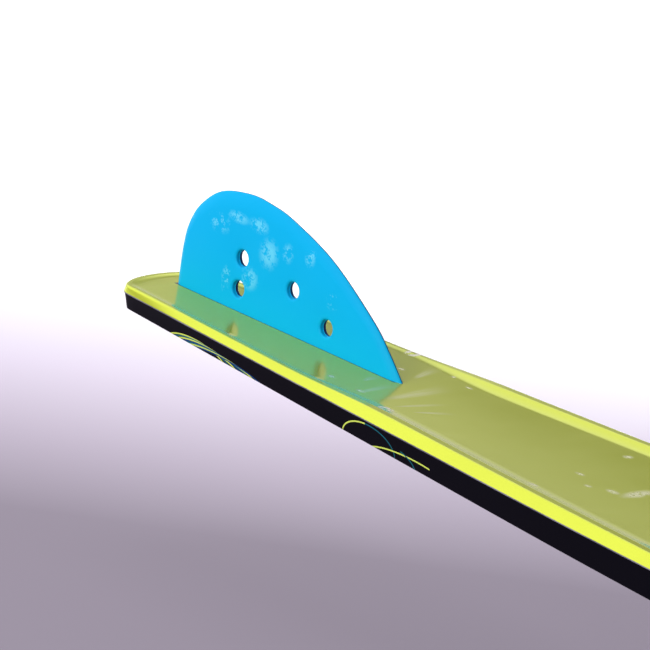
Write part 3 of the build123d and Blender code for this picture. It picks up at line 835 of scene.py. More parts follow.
@dataclass(frozen=True)
class RubberArch:
    """A moulded rubber arch over the foot: smooth outside, with raised bands, rolled ends and flanges."""

    node: str
    places: Triple
    halves: Triple
    heights: Triple
    flange_half: float
    power: float = 2.4
    foot: float = 0.003
    rubber: float = 0.0046
    flange: float = 0.004
    bands: int = 3
    band_height: float = 0.0011
    steps: int = 44
    stations: int = 40

    def through(self, values: Triple, t: float) -> float:
        """Smooth curve through three values at t = 0, 0.5 and 1."""
        first, middle, last = values
        return first * (2 * t - 1) * (t - 1) + middle * 4 * t * (1 - t) + last * t * (2 * t - 1)

    def row(self, t: float) -> list[Vector]:
        """Points across the arch at t along it, from one flange to the other."""
        x = self.places[0] + (self.places[2] - self.places[0]) * t
        half, height = self.through(self.halves, t), self.through(self.heights, t)
        lip = 0.0012 * (smooth(abs(t - 0.5), 0.44, 0.5) - 1.0)
        raised = self.band_height * smooth(math.cos(math.tau * self.bands * (t - 0.5)) * -1, -0.15, 0.45)
        grow = lip + raised * smooth(0.44 - abs(t - 0.5), 0.0, 0.06)
        top = self.foot + self.flange
        arch = []
        for k in range(self.steps + 1):
            angle = math.pi * k / self.steps
            side = 1 if math.cos(angle) >= 0 else -1
            y = side * (half + grow) * abs(math.cos(angle)) ** (2 / self.power)
            z = self.foot + (height + grow) * math.sin(angle) ** (2 / self.power)
            if z > top + 0.006:
                arch.append(Vector((x, y, z)))
        side_fillet = [(half + 0.0045 * (1 - rise), top + 0.005 * back) for rise, back in quarter(5, 0)[:5]]
        right = [(self.flange_half - 0.0006, top), ((self.flange_half + half) / 2 + 0.003, top)] + side_fillet
        left = [Vector((x, -y, z)) for y, z in reversed(right)]
        return [Vector((x, y, z)) for y, z in right] + arch + left

    def make(self, place: BootPlace, body: str, material: bpy.types.Material) -> None:
        """Builds the arch."""
        bm = bmesh.new()
        sweep(bm, [self.row(k / self.stations) for k in range(self.stations + 1)])
        mould(bm, self.rubber, Vector((0.0, 0.0, 1.0)))
        place.settle(bm)
        publish(self.node + "_moulded", bm, Finish(body, "overlay", (self.node,)), [material])


@dataclass(frozen=True)
class HeelCup:
    """The rubber heel piece: a horseshoe wall that is high at the back, with ribs and a rolled rim."""

    node: str
    centre: float = 0.798
    front: float = 0.8755
    deck: float = 0.0115
    flange: float = 0.004
    flange_half: float = 0.0566
    radii: Triple = (0.044, 0.045, 0.0385)
    levels: Triple = (0.0, 0.040, 0.095)
    front_height: float = 0.062
    rubber: float = 0.0046
    ribs: int = 6
    rib_height: float = 0.0009

    def radius(self, z: float) -> float:
        """Outer radius of the wall at height z over the deck: full at the ankle, pulled in at the top."""
        low, middle, high = self.radii
        if z < self.levels[1]:
            return low + (middle - low) * math.sin(math.pi / 2 * z / self.levels[1])
        part = (z - self.levels[1]) / (self.levels[2] - self.levels[1])
        return middle + (high - middle) * part**1.6

    def rim(self, x: float) -> float:
        """Height of the rim over the deck at x."""
        start = self.centre - 0.010
        fall = (self.levels[2] - self.front_height) / (self.front - start)
        return self.levels[2] - fall * max(x - start, 0.0) - 0.0004

    def around(self) -> list[tuple[Vector, Vector]]:
        """Places round the heel from front to front: each base point and the way out from it."""
        straight = [Vector((self.front + (self.centre - self.front) * k / 16, 0.0)) for k in range(16)]
        middle = Vector((self.centre, 0.0))
        turns = [-math.pi / 2 - math.pi * k / 40 for k in range(41)]
        spots = [(base, Vector((0.0, -1.0))) for base in straight]
        spots += [(middle, Vector((math.cos(turn), math.sin(turn)))) for turn in turns]
        return spots + [(base, Vector((0.0, 1.0))) for base in reversed(straight)]

    def column(self, rim: float) -> list[Spot]:
        """Distance out and height over the deck of each level, from the flange up to the rim."""
        levels = [(self.flange_half, self.flange), (self.radii[0] + 0.0052, self.flange)]
        for rise, back in quarter(5)[:4]:
            levels.append((self.radii[0] + 0.0045 * (1 - rise), self.flange + 0.005 * back))
        for k in range(1, 45):
            part = k / 44
            z = 0.009 + (rim - 0.009) * part
            rib = smooth(math.sin(math.tau * self.ribs * part), 0.0, 0.6) * smooth(0.8 - part, 0.0, 0.1)
            roll = 0.0012 * smooth(part, 0.93, 1.0)
            levels.append((self.radius(z) - 0.0008 + self.rib_height * rib + roll, z))
        return levels

    def make(self, place: BootPlace, body: str, material: bpy.types.Material) -> None:
        """Builds the heel cup."""
        rows = []
        for base, out in self.around():
            levels = self.column(self.rim(base.x + out.x * self.radii[0]))
            rows.append([Vector((*(base + out * reach), self.deck + z)) for reach, z in levels])
        bm = bmesh.new()
        sweep(bm, rows)
        mould(bm, self.rubber, Vector((-1.0, 0.0, 0.0)))
        place.settle(bm)
        publish(self.node + "_moulded", bm, Finish(body, "overlay", (self.node,)), [material])


@dataclass(frozen=True)
class ScrewKind:
    """The sizes of a screw: height and radius of its head, radius of its shank, and how domed the head is."""

    head: float
    radius: float
    shank: float
    dome: float = 0.35


LARGE_PAN = ScrewKind(0.0026, 0.0046, 0.0024)
SMALL_PAN = ScrewKind(0.0020, 0.0036, 0.0019)
FLUSH = ScrewKind(0.0016, 0.0046, 0.0024, 0.08)


@dataclass(frozen=True)
class ScrewSet:
    """The screws of one CAD node, each turned as a profile with a cross recess in its head."""

    node: str
    kind: ScrewKind
    places: tuple[Spot, ...]
    seat: float
    depth: float

    def profile(self) -> list[Vector]:
        """Half of the screw's outline, from the middle of its head to the end of its shank."""
        kind, top, end = self.kind, self.seat + self.kind.head, self.seat - self.depth
        points = [(0.0, top), (kind.radius * 0.14, top), (kind.radius * 0.5, top - 0.00002)]
        for rise, back in quarter(4, 0):
            fall = 0.00005 + kind.head * kind.dome * 2 * back
            points.append((kind.radius * (0.62 + 0.38 * rise), top - fall))
        points += [(kind.radius, self.seat + 0.0002), (kind.radius - 0.0002, self.seat)]
        points += [(kind.shank, self.seat), (kind.shank, end), (0.0, end)]
        return [Vector((x, 0.0, z)) for x, z in points]

    def turn(self, bm: bmesh.types.BMesh) -> None:
        """Turns one screw at the origin and sinks the cross into its head."""
        verts = [bm.verts.new(point) for point in self.profile()]
        edges = [bm.edges.new(pair) for pair in zip(verts, verts[1:])]
        bmesh.ops.spin(bm, geom=verts + edges, cent=(0, 0, 0), axis=(0, 0, 1), angle=math.tau, steps=32,
                       use_merge=True)
        bmesh.ops.remove_doubles(bm, verts=bm.verts, dist=1e-7)
        recess = []
        for face in bm.faces:
            centre = face.calc_center_median()
            reach = math.hypot(centre.x, centre.y)
            angle = math.degrees(math.atan2(centre.y, centre.x)) % 90.0
            in_cross = reach < 0.14 * self.kind.radius
            in_cross = in_cross or (reach < 0.5 * self.kind.radius and not 12.0 < angle < 78.0)
            if in_cross and centre.z > self.seat + self.kind.head - 0.0001:
                recess.append(face)
        grown = bmesh.ops.extrude_face_region(bm, geom=recess)["geom"]
        sunk = [item for item in grown if isinstance(item, bmesh.types.BMVert)]
        bmesh.ops.translate(bm, verts=sunk, vec=(0, 0, -min(self.kind.head * 0.6, 0.0014)))
        left = [face for face in recess if face.is_valid]
        bmesh.ops.delete(bm, geom=left, context="FACES")

    def make(self, place: BootPlace, body: str, material: bpy.types.Material) -> None:
        """Builds all the screws of the node as one piece."""
        bm = bmesh.new()
        self.turn(bm)
        pattern = bm.verts[:] + bm.edges[:] + bm.faces[:]
        for x, y in self.places:
            copied = bmesh.ops.duplicate(bm, geom=pattern)["geom"]
            own = [item for item in copied if isinstance(item, bmesh.types.BMVert)]
            slot_turn = math.sin(x * 9137.0 + y * 5113.0)
            turned = Matrix.Translation((x, y, 0.0)) @ Matrix.Rotation(slot_turn, 4, "Z")
            bmesh.ops.transform(bm, matrix=turned, verts=own)
        spare = [item for item in pattern if isinstance(item, bmesh.types.BMVert)]
        bmesh.ops.delete(bm, geom=spare, context="VERTS")
        tidy(bm, 35.0, 1e-7)
        place.settle(bm)
        publish(self.node + "_turned", bm, Finish(body, "steel", (self.node,)), [material])


@dataclass(frozen=True)
class FootPad:
    """A moulded foam pad with a crowned top and shallow channels across it."""

    node: str
    x_range: tuple[float, float]
    half: float
    base: float
    thick: float
    corner: float
    round_back: bool = False
    channels: float = 0.011
    fill: float = 0.9

    def edge_gap(self, x: float, y: float) -> float:
        """Distance from a place in the pad to its outline, negative outside."""
        low, high = self.x_range
        if self.round_back:
            centre = low + self.half
            if x < centre:
                return self.half - math.hypot(x - centre, y)
            return min(self.half - abs(y), high - x)
        middle = (low + high) / 2
        reach_x, reach_y = (high - low) / 2 - self.corner, self.half - self.corner
        over_x, over_y = abs(x - middle) - reach_x, abs(y) - reach_y
        outside = math.hypot(max(over_x, 0.0), max(over_y, 0.0))
        return self.corner - outside - min(max(over_x, over_y), 0.0)

    def outline(self, inset: float) -> list[Vector]:
        """The outline of the pad moved inwards."""
        low, high = self.x_range
        middle = Vector(((low + high) / 2, 0.0))
        points = []
        for k in range(120):
            turn = math.tau * k / 120
            out = Vector((math.cos(turn), math.sin(turn)))
            near, far = 0.0, 0.2
            for _ in range(24):
                reach = (near + far) / 2
                spot = middle + out * reach
                if self.edge_gap(spot.x, spot.y) > inset:
                    near = reach
                else:
                    far = reach
            points.append(middle + out * near)
        return points

    def height(self, spot: Vector) -> float:
        """Height of the top of the pad at a place."""
        gap = max(self.edge_gap(spot.x, spot.y), 0.0)
        crown = self.thick * (0.9 + 0.1 * smooth(gap, 0.0, 0.02))
        groove = smooth(abs(math.sin(math.pi * spot.x / self.channels)), 0.28, 0.0)
        return self.base + crown - 0.0011 * groove * smooth(gap, 0.004, 0.007)

    def make(self, place: BootPlace, body: str, material: bpy.types.Material) -> None:
        """Builds the pad."""
        rows = []
        for inset, share in ((0.0006, 0.0), (0.0, 0.12), (0.0, 0.6)):
            rows.append([Vector((*spot, self.base + self.thick * share)) for spot in self.outline(inset)])
        for rise, back in quarter(4):
            level = self.base + self.thick * (0.6 + 0.3 * rise)
            rows.append([Vector((*spot, level)) for spot in self.outline(0.0025 * back)])
        inner = self.outline(0.0026)
        middle = sum(inner, Vector((0.0, 0.0))) / len(inner)
        for k in range(1, 40):
            ring = [spot.lerp(middle, k / 40) for spot in inner]
            rows.append([Vector((*spot, self.height(spot))) for spot in ring])
        bm = bmesh.new()
        sweep(bm, rows, closed=True)
        bmesh.ops.holes_fill(bm, edges=[edge for edge in bm.edges if edge.is_boundary], sides=0)
        tidy(bm, 55.0)
        place.settle(bm)
        piece = publish(self.node + "_moulded", bm, Finish(body, "pad", (self.node,)), [material])


def mirrored(xs: Sequence[float], y: float) -> tuple[Spot, ...]:
    """Places in two rows, the same on both sides of the ski."""
    return tuple((x, side) for x in xs for side in (-y, y))


@dataclass(frozen=True)
class Binding:
    """Everything on the top sheet of one ski."""

    ski: str

    def plates(self, finishes: "Finishes") -> None:
        """Rounds the edges of the plates, bars, carriage and lever."""
        metal, nylon, lever = 0.0006, 0.0009, 0.0008
        shapes = (
            ("toe_frames_", "ski_", "frame", nylon, finishes.frame, 2),
            ("binding_plate_", "ski_", "plate", metal, finishes.plate, 2),
            ("heel_slide_", "heel_", "carriage", metal, finishes.carriage, 2),
            ("heel_frame_", "heel_", "frame", nylon, finishes.frame, 2),
            ("lock_lever_", "lever_", "lever", lever, finishes.lever, 3),
            ("rear_frames_", "ski_", "frame", nylon, finishes.frame, 2),
            ("rear_plate_", "ski_", "plate", metal, finishes.plate, 2),
        )
        for node, body, slot, width, material, segments in shapes:
            if node + self.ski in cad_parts:
                softened(node + self.ski, width, Finish(body + self.ski, slot), material, segments)

    def toe(self, place: BootPlace, finishes: "Finishes") -> None:
        """Builds the toe piece and the screws of the binding plate."""
        body, ski = "ski_" + self.ski, self.ski
        RubberArch("toe_overlay_" + ski, (0.955, 1.015, 1.075), (0.052, 0.054, 0.050), (0.082, 0.074, 0.052),
                   0.069).make(place, body, finishes.rubber)
        FootPad("toe_pad_" + ski, (0.938, 1.092), 0.044, 0.003, 0.009, 0.018).make(place, body, finishes.foam)
        toe_places = mirrored((0.965, 1.015, 1.065), 0.0625)
        ScrewSet("toe_screws_" + ski, LARGE_PAN, toe_places, 0.010, 0.019).make(place, body, finishes.steel)
        plate_places = mirrored((0.695, 0.915), 0.025)
        ScrewSet("plate_screws_" + ski, FLUSH, plate_places, 0.0012, 0.010).make(place, body, finishes.steel)

    def heel(self, place: BootPlace, finishes: "Finishes") -> None:
        """Builds the heel piece, which rides on its slide."""
        body, ski = "heel_" + self.ski, self.ski
        cup = HeelCup("heel_cup_" + ski)
        cup.make(place, body, finishes.rubber)
        turns, reach = [math.radians(turn) for turn in (110.0, 180.0, 250.0)], 0.0515
        spots = [(cup.centre + reach * math.cos(turn), reach * math.sin(turn)) for turn in turns]
        places = tuple(spots) + mirrored((0.820, 0.862), reach)
        ScrewSet("heel_screws_" + ski, SMALL_PAN, places, 0.0185, 0.009).make(place, body, finishes.steel)
        FootPad("heel_pad_" + ski, (0.760, 0.876), 0.038, cup.deck, 0.006, 0.01, round_back=True).make(
            place, body, finishes.foam)

    def rear(self, place: BootPlace, finishes: "Finishes") -> None:
        """Builds the rear toe piece, which only one ski carries."""
        body, ski = "ski_" + self.ski, self.ski
        RubberArch("rear_strap_" + ski, (0.541, 0.570, 0.599), (0.046, 0.047, 0.046), (0.066, 0.070, 0.066),
                   0.062, bands=2, stations=28).make(place, body, finishes.rubber)
        FootPad("rear_pad_" + ski, (0.506, 0.634), 0.040, 0.003, 0.007, 0.014).make(
            place, body, finishes.foam)
        strap_places = mirrored((0.551, 0.589), 0.0555)
        ScrewSet("rear_strap_screws_" + ski, SMALL_PAN, strap_places, 0.010, 0.009).make(
            place, body, finishes.steel)
        plate_places = mirrored((0.515, 0.625), 0.056)
        ScrewSet("rear_plate_screws_" + ski, LARGE_PAN, plate_places, 0.003, 0.012).make(
            place, body, finishes.steel)

    def make(self, finishes: "Finishes") -> None:
        """Builds the whole binding."""
        place = BootPlace.of(self.ski)
        self.toe(place, finishes)
        self.heel(place, finishes)
        if "rear_plate_" + self.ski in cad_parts:
            self.rear(place, finishes)
        self.plates(finishes)


def dress(finishes: "Finishes") -> None:
    """Gives the CAD nodes that stay their own materials."""
    for ski in "ab":
        worn = {
            "foam_core": finishes.core,
            "fin_washers": finishes.steel,
            "fin_screws": finishes.steel,
            "binding_inserts": finishes.brass,
            "rear_inserts": finishes.brass,
            "lever_pin": finishes.steel,
        }
        for name, material in worn.items():
            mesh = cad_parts[f"{name}_{ski}"].data
            mesh.materials.clear()
            mesh.materials.append(material)


# --------------------------------------------------------------------------- plain finishes


@dataclass(frozen=True)
class GrainyFinish:
    """A finish with a fine grain, uneven gloss and handling marks."""

    name: str
    colour: Colour
    worn: Colour
    roughness: tuple[float, float]
    grain: float
    depth: float
    metallic: float = 0.0
    specular: float = 0.4

    def make(self) -> bpy.types.Material:
        """Builds the material."""
        made = Material(self.name, self.colour, 0.5, Metallic=self.metallic, Specular_IOR_Level=self.specular)
        shader = made.shader
        place = made.place()
        dust = shader.group(Effect.DUST, {"Vector": place, "Scale": 22.0})
        made.put("Base Color", shader.mix(shader.ramp(dust, 0.42, 0.75), self.colour, self.worn))
        made.put("Roughness", shader.ramp(dust, 0.3, 0.7, *self.roughness))
        height = shader.group(Effect.GRAIN, {"Vector": place, "Scale": self.grain, "Blend": 0.5})
        made.bump(height, 0.35, self.depth)
        return made.data


@dataclass(frozen=True)
class BrushedMetal:
    """Sheet metal brushed along the ski."""

    name: str
    colour: Colour
    roughness: float = 0.34

    def make(self) -> bpy.types.Material:
        """Builds the material."""
        made = Material(self.name, self.colour, self.roughness, Metallic=1.0)
        shader = made.shader
        place = made.place()
        drawn = shader.vector("MULTIPLY", place, (14.0, 1600.0, 1600.0))
        hair = shader.noise(drawn, 1.0, 3.0)
        made.put("Roughness", shader.ramp(hair, 0.3, 0.7, self.roughness - 0.08, self.roughness + 0.1))
        dust = shader.group(Effect.DUST, {"Vector": place, "Scale": 16.0})
        dull = tuple(part * 0.8 for part in self.colour)
        made.put("Base Color", shader.mix(shader.ramp(dust, 0.4, 0.75), self.colour, dull))
        made.bump(hair, 0.12, 0.00006)
        return made.data


# --------------------------------------------------------------------------- finishes


@dataclass(frozen=True)
class BasePaint:
    """The glossy yellow-green base with its pale rings, smears and scuffs, and a painted shade line round the
    fin's root, as seen from the ski's own origin.
    """

    colour: Colour = linear(203, 213, 58)
    smear: Colour = linear(232, 226, 214)
    # Colour of the painted shade line along the fin's root.
    root: Colour = linear(46, 74, 62)
    rings: tuple[tuple[float, float], ...] = ((0.1568, 0.0417), (0.2227, -0.0396))
    streaks: tuple[tuple[float, float, float, float, float], ...] = (
        (0.2100, -0.0300, -1.62, 0.055, 0.0055), (0.1827, -0.0185, -1.79, 0.016, 0.0030),
        (0.1968, -0.0356, -1.68, 0.032, 0.0032), (0.1891, 0.0112, -1.91, 0.030, 0.0036),
        (0.2298, -0.0289, -1.10, 0.026, 0.0022), (0.2200, -0.0330, -1.35, 0.036, 0.0022),
    )
    ovals: tuple[tuple[float, float, float, float], ...] = (
        (0.1718, -0.0292, 0.0034, 0.0022), (0.1952, -0.0306, 0.0034, 0.0024), (0.1742, 0.0168, 0.0030, 0.0022),
        (0.1936, 0.0354, 0.0022, 0.0018), (0.2104, 0.0307, 0.0030, 0.0016), (0.3366, -0.0473, 0.0040, 0.0026),
        (0.3328, -0.0112, 0.0036, 0.0020), (0.3476, -0.0205, 0.0030, 0.0020), (0.3587, -0.0145, 0.0048, 0.0030),
        (0.3222, 0.0333, 0.0030, 0.0035), (0.3660, -0.0040, 0.0050, 0.0140),
    )

    def make(self, ski: str, origin: Vector) -> bpy.types.Material:
        """Builds the material for one ski."""
        made = Material("base_paint_" + ski, self.colour, 0.14, Metallic=0.5)
        shader = made.shader
        place = made.place(origin)
        dust = shader.group(Effect.DUST, {"Vector": place, "Scale": 9.0})
        colour = shader.mix(shader.ramp(dust, 0.35, 0.7, 0.0, 0.25), self.colour,
                            tuple(part * 0.86 for part in self.colour))
        marks: object = 0.0
        for x, y in self.rings:
            ring = shader.group(Effect.RING, {"Vector": place, "Centre": (x, y, 0.0), "Radius": 0.0030,
                                              "Width": 0.0024})
            marks = shader.math("MAXIMUM", marks, ring)
        for x, y, turn, length, width in self.streaks:
            streak = shader.group(Effect.STREAK, {"Vector": place, "Start": (x, y, 0.0), "Turn": turn,
                                                  "Length": length, "Width": width * 1.5})
            marks = shader.math("MAXIMUM", marks, shader.math("MULTIPLY", streak, 0.38))
        for x, y, long, wide in self.ovals:
            oval = shader.group(Effect.PATCH, {"Vector": place, "Centre": (x, y, 0.0),
                                               "Reach": (long, wide, 0.01),
                                               "Scale": 420.0, "Cover": 0.95})
            marks = shader.math("MAXIMUM", marks, shader.math("MULTIPLY", oval, 0.55))
        colour = shader.mix(marks, colour, self.smear)
        # Painted shade: a dark olive line hugs both sides of the fin's root, along its length, where shade
        # falls between fin and base.
        parts = shader.parts(place)
        line = shader.ramp(shader.math("ABSOLUTE", parts[1]), 0.0036, 0.0028)
        along = shader.math("MULTIPLY", shader.ramp(parts[0], 0.0165, 0.0180),
                            shader.ramp(parts[0], 0.1915, 0.1890))
        made.put("Base Color", shader.mix(shader.math("MULTIPLY", line, along), colour, self.root))
        rough = shader.math("MULTIPLY_ADD", marks, 0.3, shader.ramp(dust, 0.3, 0.75, 0.11, 0.17))
        made.put("Roughness", rough)
        height = shader.group(Effect.GRAIN, {"Vector": place, "Scale": 60.0, "Blend": 0.8})
        made.bump(height, 0.02, 0.002)
        return made.data


@dataclass(frozen=True)
class Line:
    """One painted arc: its centre and reach along the ski and across it, half its width, ends and colour."""

    centre: tuple[float, float]
    reach: tuple[float, float]
    width: float
    start: float
    end: float
    colour: Colour


@dataclass(frozen=True)
class CapPaint:
    """The navy-black cap, with loose painted arcs on its side and over its top sheet."""

    colour: Colour = linear(6, 5, 13)
    lime: Colour = linear(206, 222, 96)
    teal: Colour = linear(24, 98, 112)
    blue: Colour = linear(18, 62, 118)

    def side_lines(self) -> list[Line]:
        """The arcs on the sidewall near the tail, as distance along the ski and height."""
        lines = [
            Line((0.2265, -0.0160), (0.0215, 0.0105), 0.0003, -1.0, -0.15, self.lime),
            Line((0.2265, -0.0160), (0.0215, 0.0105), 0.00025, -0.15, 1.0, self.teal),
            Line((0.2640, -0.0215), (0.0420, 0.0102), 0.0003, -0.95, 0.28, self.lime),
            Line((0.2470, -0.0185), (0.0180, 0.0085), 0.00025, 0.3, 1.0, self.teal),
        ]
        hues = (self.lime, self.teal, self.lime, self.blue, self.teal, self.lime, self.blue)
        for k, hue in enumerate(hues):
            centre = (0.078 + 0.0042 * k, -0.0200 + 0.00035 * k)
            lines.append(Line(centre, (0.030 + 0.0012 * k, 0.0108 - 0.0007 * k), 0.0003, -0.9, 0.95, hue))
        return lines

    def top_lines(self) -> list[Line]:
        """The arcs over the top sheet, as distance along the ski and across it."""
        hues = (self.lime, self.teal, self.blue)
        lines = []
        for k in range(15):
            swing = math.sin(2.4 * k)
            centre = (0.10 + 0.108 * k, -0.075 + 0.012 * swing)
            reach = (0.085 + 0.03 * math.cos(1.7 * k), 0.095 + 0.02 * swing)
            lines.append(Line(centre, reach, 0.0009 + 0.0004 * abs(swing), -0.95, 0.9, hues[k % 3]))
        return lines

    def make(self, ski: str, origin: Vector) -> bpy.types.Material:
        """Builds the material for one ski."""
        made = Material("cap_paint_" + ski, self.colour, 0.3, Specular_IOR_Level=0.05)
        shader = made.shader
        place = made.place(origin)
        dust = shader.group(Effect.DUST, {"Vector": place, "Scale": 14.0})
        made.put("Roughness", shader.ramp(dust, 0.3, 0.7, 0.28, 0.4))
        parts = shader.parts(place)
        upright = shader.flat(parts[0], parts[2])
        edge = shader.math("MULTIPLY_ADD", shader.math("MINIMUM", parts[0], 0.33), 0.091, 0.0332)
        gap = shader.math("SUBTRACT", edge, shader.math("ABSOLUTE", parts[1]))
        on_side = shader.ramp(gap, 0.0060, 0.0052)
        colour: object = self.colour
        for vector, cover, lines in ((upright, on_side, self.side_lines()),
                                     (place, shader.math("SUBTRACT", 1.0, on_side), self.top_lines())):
            for line in lines:
                mask = shader.group(Effect.STROKE, {
                    "Vector": vector, "Centre": (*line.centre, 0.0), "Reach": (*line.reach, 1.0),
                    "Width": line.width, "From": line.start, "To": line.end})
                colour = shader.mix(shader.math("MULTIPLY", mask, cover), colour, line.colour)
        made.put("Base Color", colour)
        return made.data


@dataclass(frozen=True)
class FinPlastic:
    """The cyan moulded fin with its rubbed patches."""

    colour: Colour = linear(0, 174, 230)
    rubbed: Colour = linear(128, 224, 246)
    patches: tuple[tuple[float, float, float, float, float], ...] = (
        (0.0405, 0.0487, 0.0095, 0.0036, 0.75), (0.0570, 0.0490, 0.0085, 0.0048, 0.75),
        (0.0670, 0.0366, 0.0085, 0.0095, 0.85), (0.0550, 0.0195, 0.0075, 0.0070, 0.75),
        (0.0270, 0.0420, 0.0100, 0.0060, 0.6), (0.0810, 0.0410, 0.0050, 0.0060, 0.6),
        (0.0980, 0.0440, 0.0045, 0.0065, 0.65), (0.1180, 0.0265, 0.0060, 0.0050, 0.45),
        (0.0370, 0.0150, 0.0040, 0.0090, 0.5),
    )

    def make(self, ski: str, origin: Vector) -> bpy.types.Material:
        """Builds the material for one ski."""
        made = Material("fin_plastic_" + ski, self.colour, 0.5, Specular_IOR_Level=0.08)
        shader = made.shader
        place = made.place(origin)
        colour: object = self.colour
        for x, z, wide, high, cover in self.patches:
            mask = shader.group(Effect.PATCH, {"Vector": place, "Centre": (x, -0.0026, z),
                                               "Reach": (wide, 0.01, high),
                                               "Scale": 800.0, "Cover": cover})
            colour = shader.mix(shader.math("MULTIPLY", mask, 0.55), colour, self.rubbed)
        made.put("Base Color", colour)
        height = shader.group(Effect.GRAIN, {"Vector": place, "Scale": 500.0, "Blend": 0.5})
        made.bump(height, 0.05, 0.0003)
        return made.data


class Finishes:
    """Every material of the pair."""

    def __init__(self, origins: dict[str, Vector], fin_origins: dict[str, Vector]) -> None:
        """Builds the materials.

        Args:
            origins: The tail end of each ski, on its centre line at its running surface.
            fin_origins: The rear end of each fin's root, on its centre line.
        """
        self.base = {ski: BasePaint().make(ski, origin) for ski, origin in origins.items()}
        self.cap = {ski: CapPaint().make(ski, origin) for ski, origin in origins.items()}
        self.fin = {ski: FinPlastic().make(ski, origin) for ski, origin in fin_origins.items()}
        grained = (
            GrainyFinish("moulded_rubber", linear(30, 31, 34), linear(52, 53, 56),
                         (0.5, 0.68), 900.0, 0.0003),
            GrainyFinish("frame_nylon", linear(20, 21, 24), linear(36, 37, 40),
                         (0.36, 0.5), 700.0, 0.00012),
            GrainyFinish("carriage_nylon", linear(74, 78, 84), linear(98, 101, 106),
                         (0.42, 0.56), 700.0, 0.00015),
            GrainyFinish("lever_plastic", linear(0, 160, 214), linear(70, 190, 226),
                         (0.34, 0.48), 650.0, 0.00012),
            GrainyFinish("pad_foam", linear(44, 46, 52), linear(66, 69, 76), (0.82, 0.95), 1400.0, 0.0006,
                         specular=0.15),
            GrainyFinish("core_foam", linear(226, 214, 170), linear(200, 184, 140),
                         (0.8, 0.95), 800.0, 0.0006),
            GrainyFinish("insert_brass", linear(206, 170, 92), linear(160, 126, 66),
                         (0.28, 0.42), 500.0, 0.00006,
                         metallic=1.0),
        )
        self.rubber, self.frame, self.carriage, self.lever, self.foam, self.core, self.brass = (
            finish.make() for finish in grained)
        self.steel = BrushedMetal("screw_steel", linear(196, 198, 202), 0.26).make()
        self.plate = BrushedMetal("plate_aluminium", linear(150, 154, 160), 0.38).make()
        # Painted highlight: the light grey strip between the base's bevel and the cap's sidewall stands in for
        # the edge highlight along that junction.
        self.seam = self.smooth_toned("seam_painted_highlight", linear(128, 124, 138), linear(96, 92, 108))
        # Painted shade: dark navy for the rear half of each fin hole's wall, where shade falls inside the hole,
        # and for a thin dark line along the fin's free edge.
        self.fin_shade = self.smooth_toned("fin_hole_shade_and_dark_edge", linear(18, 62, 116), linear(26, 84, 140))

    def smooth_toned(self, name: str, colour: Colour, stained: Colour) -> bpy.types.Material:
        """Builds a smooth finish that is unevenly stained. It carries the cap seam's painted highlight and the
        fin's painted hole shade and dark edge line.
        """
        made = Material(name, colour, 0.4, Specular_IOR_Level=0.1)
        shader = made.shader
        dust = shader.group(Effect.DUST, {"Vector": made.place(), "Scale": 40.0})
        made.put("Base Color", shader.mix(shader.ramp(dust, 0.35, 0.65), colour, stained))
        return made.data


# --------------------------------------------------------------------------- the studio


@dataclass(frozen=True)
class Softbox:
    """A soft light: where it hangs from the aim point, its target, sides, brightness and spread."""

    name: str
    place: tuple[float, float, float]
    target: tuple[float, float, float]
    width: float
    height: float
    radiance: float
    spread: float = 180.0
    colour: Colour = (1.0, 1.0, 1.0)

    def hang(self, aim: Vector) -> None:
        """Adds the light to the scene."""
        data = bpy.data.lights.new(self.name, "AREA")
        data.shape = "RECTANGLE"
        data.size = self.width
        data.size_y = self.height
        data.energy = self.radiance * math.pi * self.width * self.height
        data.spread = math.radians(self.spread)
        data.color = self.colour
        lamp = bpy.data.objects.new(self.name, data)
        place, target = aim + Vector(self.place), aim + Vector(self.target)
        lamp.location = place
        lamp.rotation_mode = "QUATERNION"
        lamp.rotation_quaternion = (target - place).to_track_quat("-Z", "Y")
        lamp.visible_camera = False
        bpy.context.scene.collection.objects.link(lamp)


@dataclass(frozen=True)
class Window:
    """A soft bright part of the room: its direction, the cosines of its edge, its sill and brightness."""

    direction: tuple[float, float, float]
    cone: tuple[float, float]
    sill: tuple[float, float]
    radiance: float


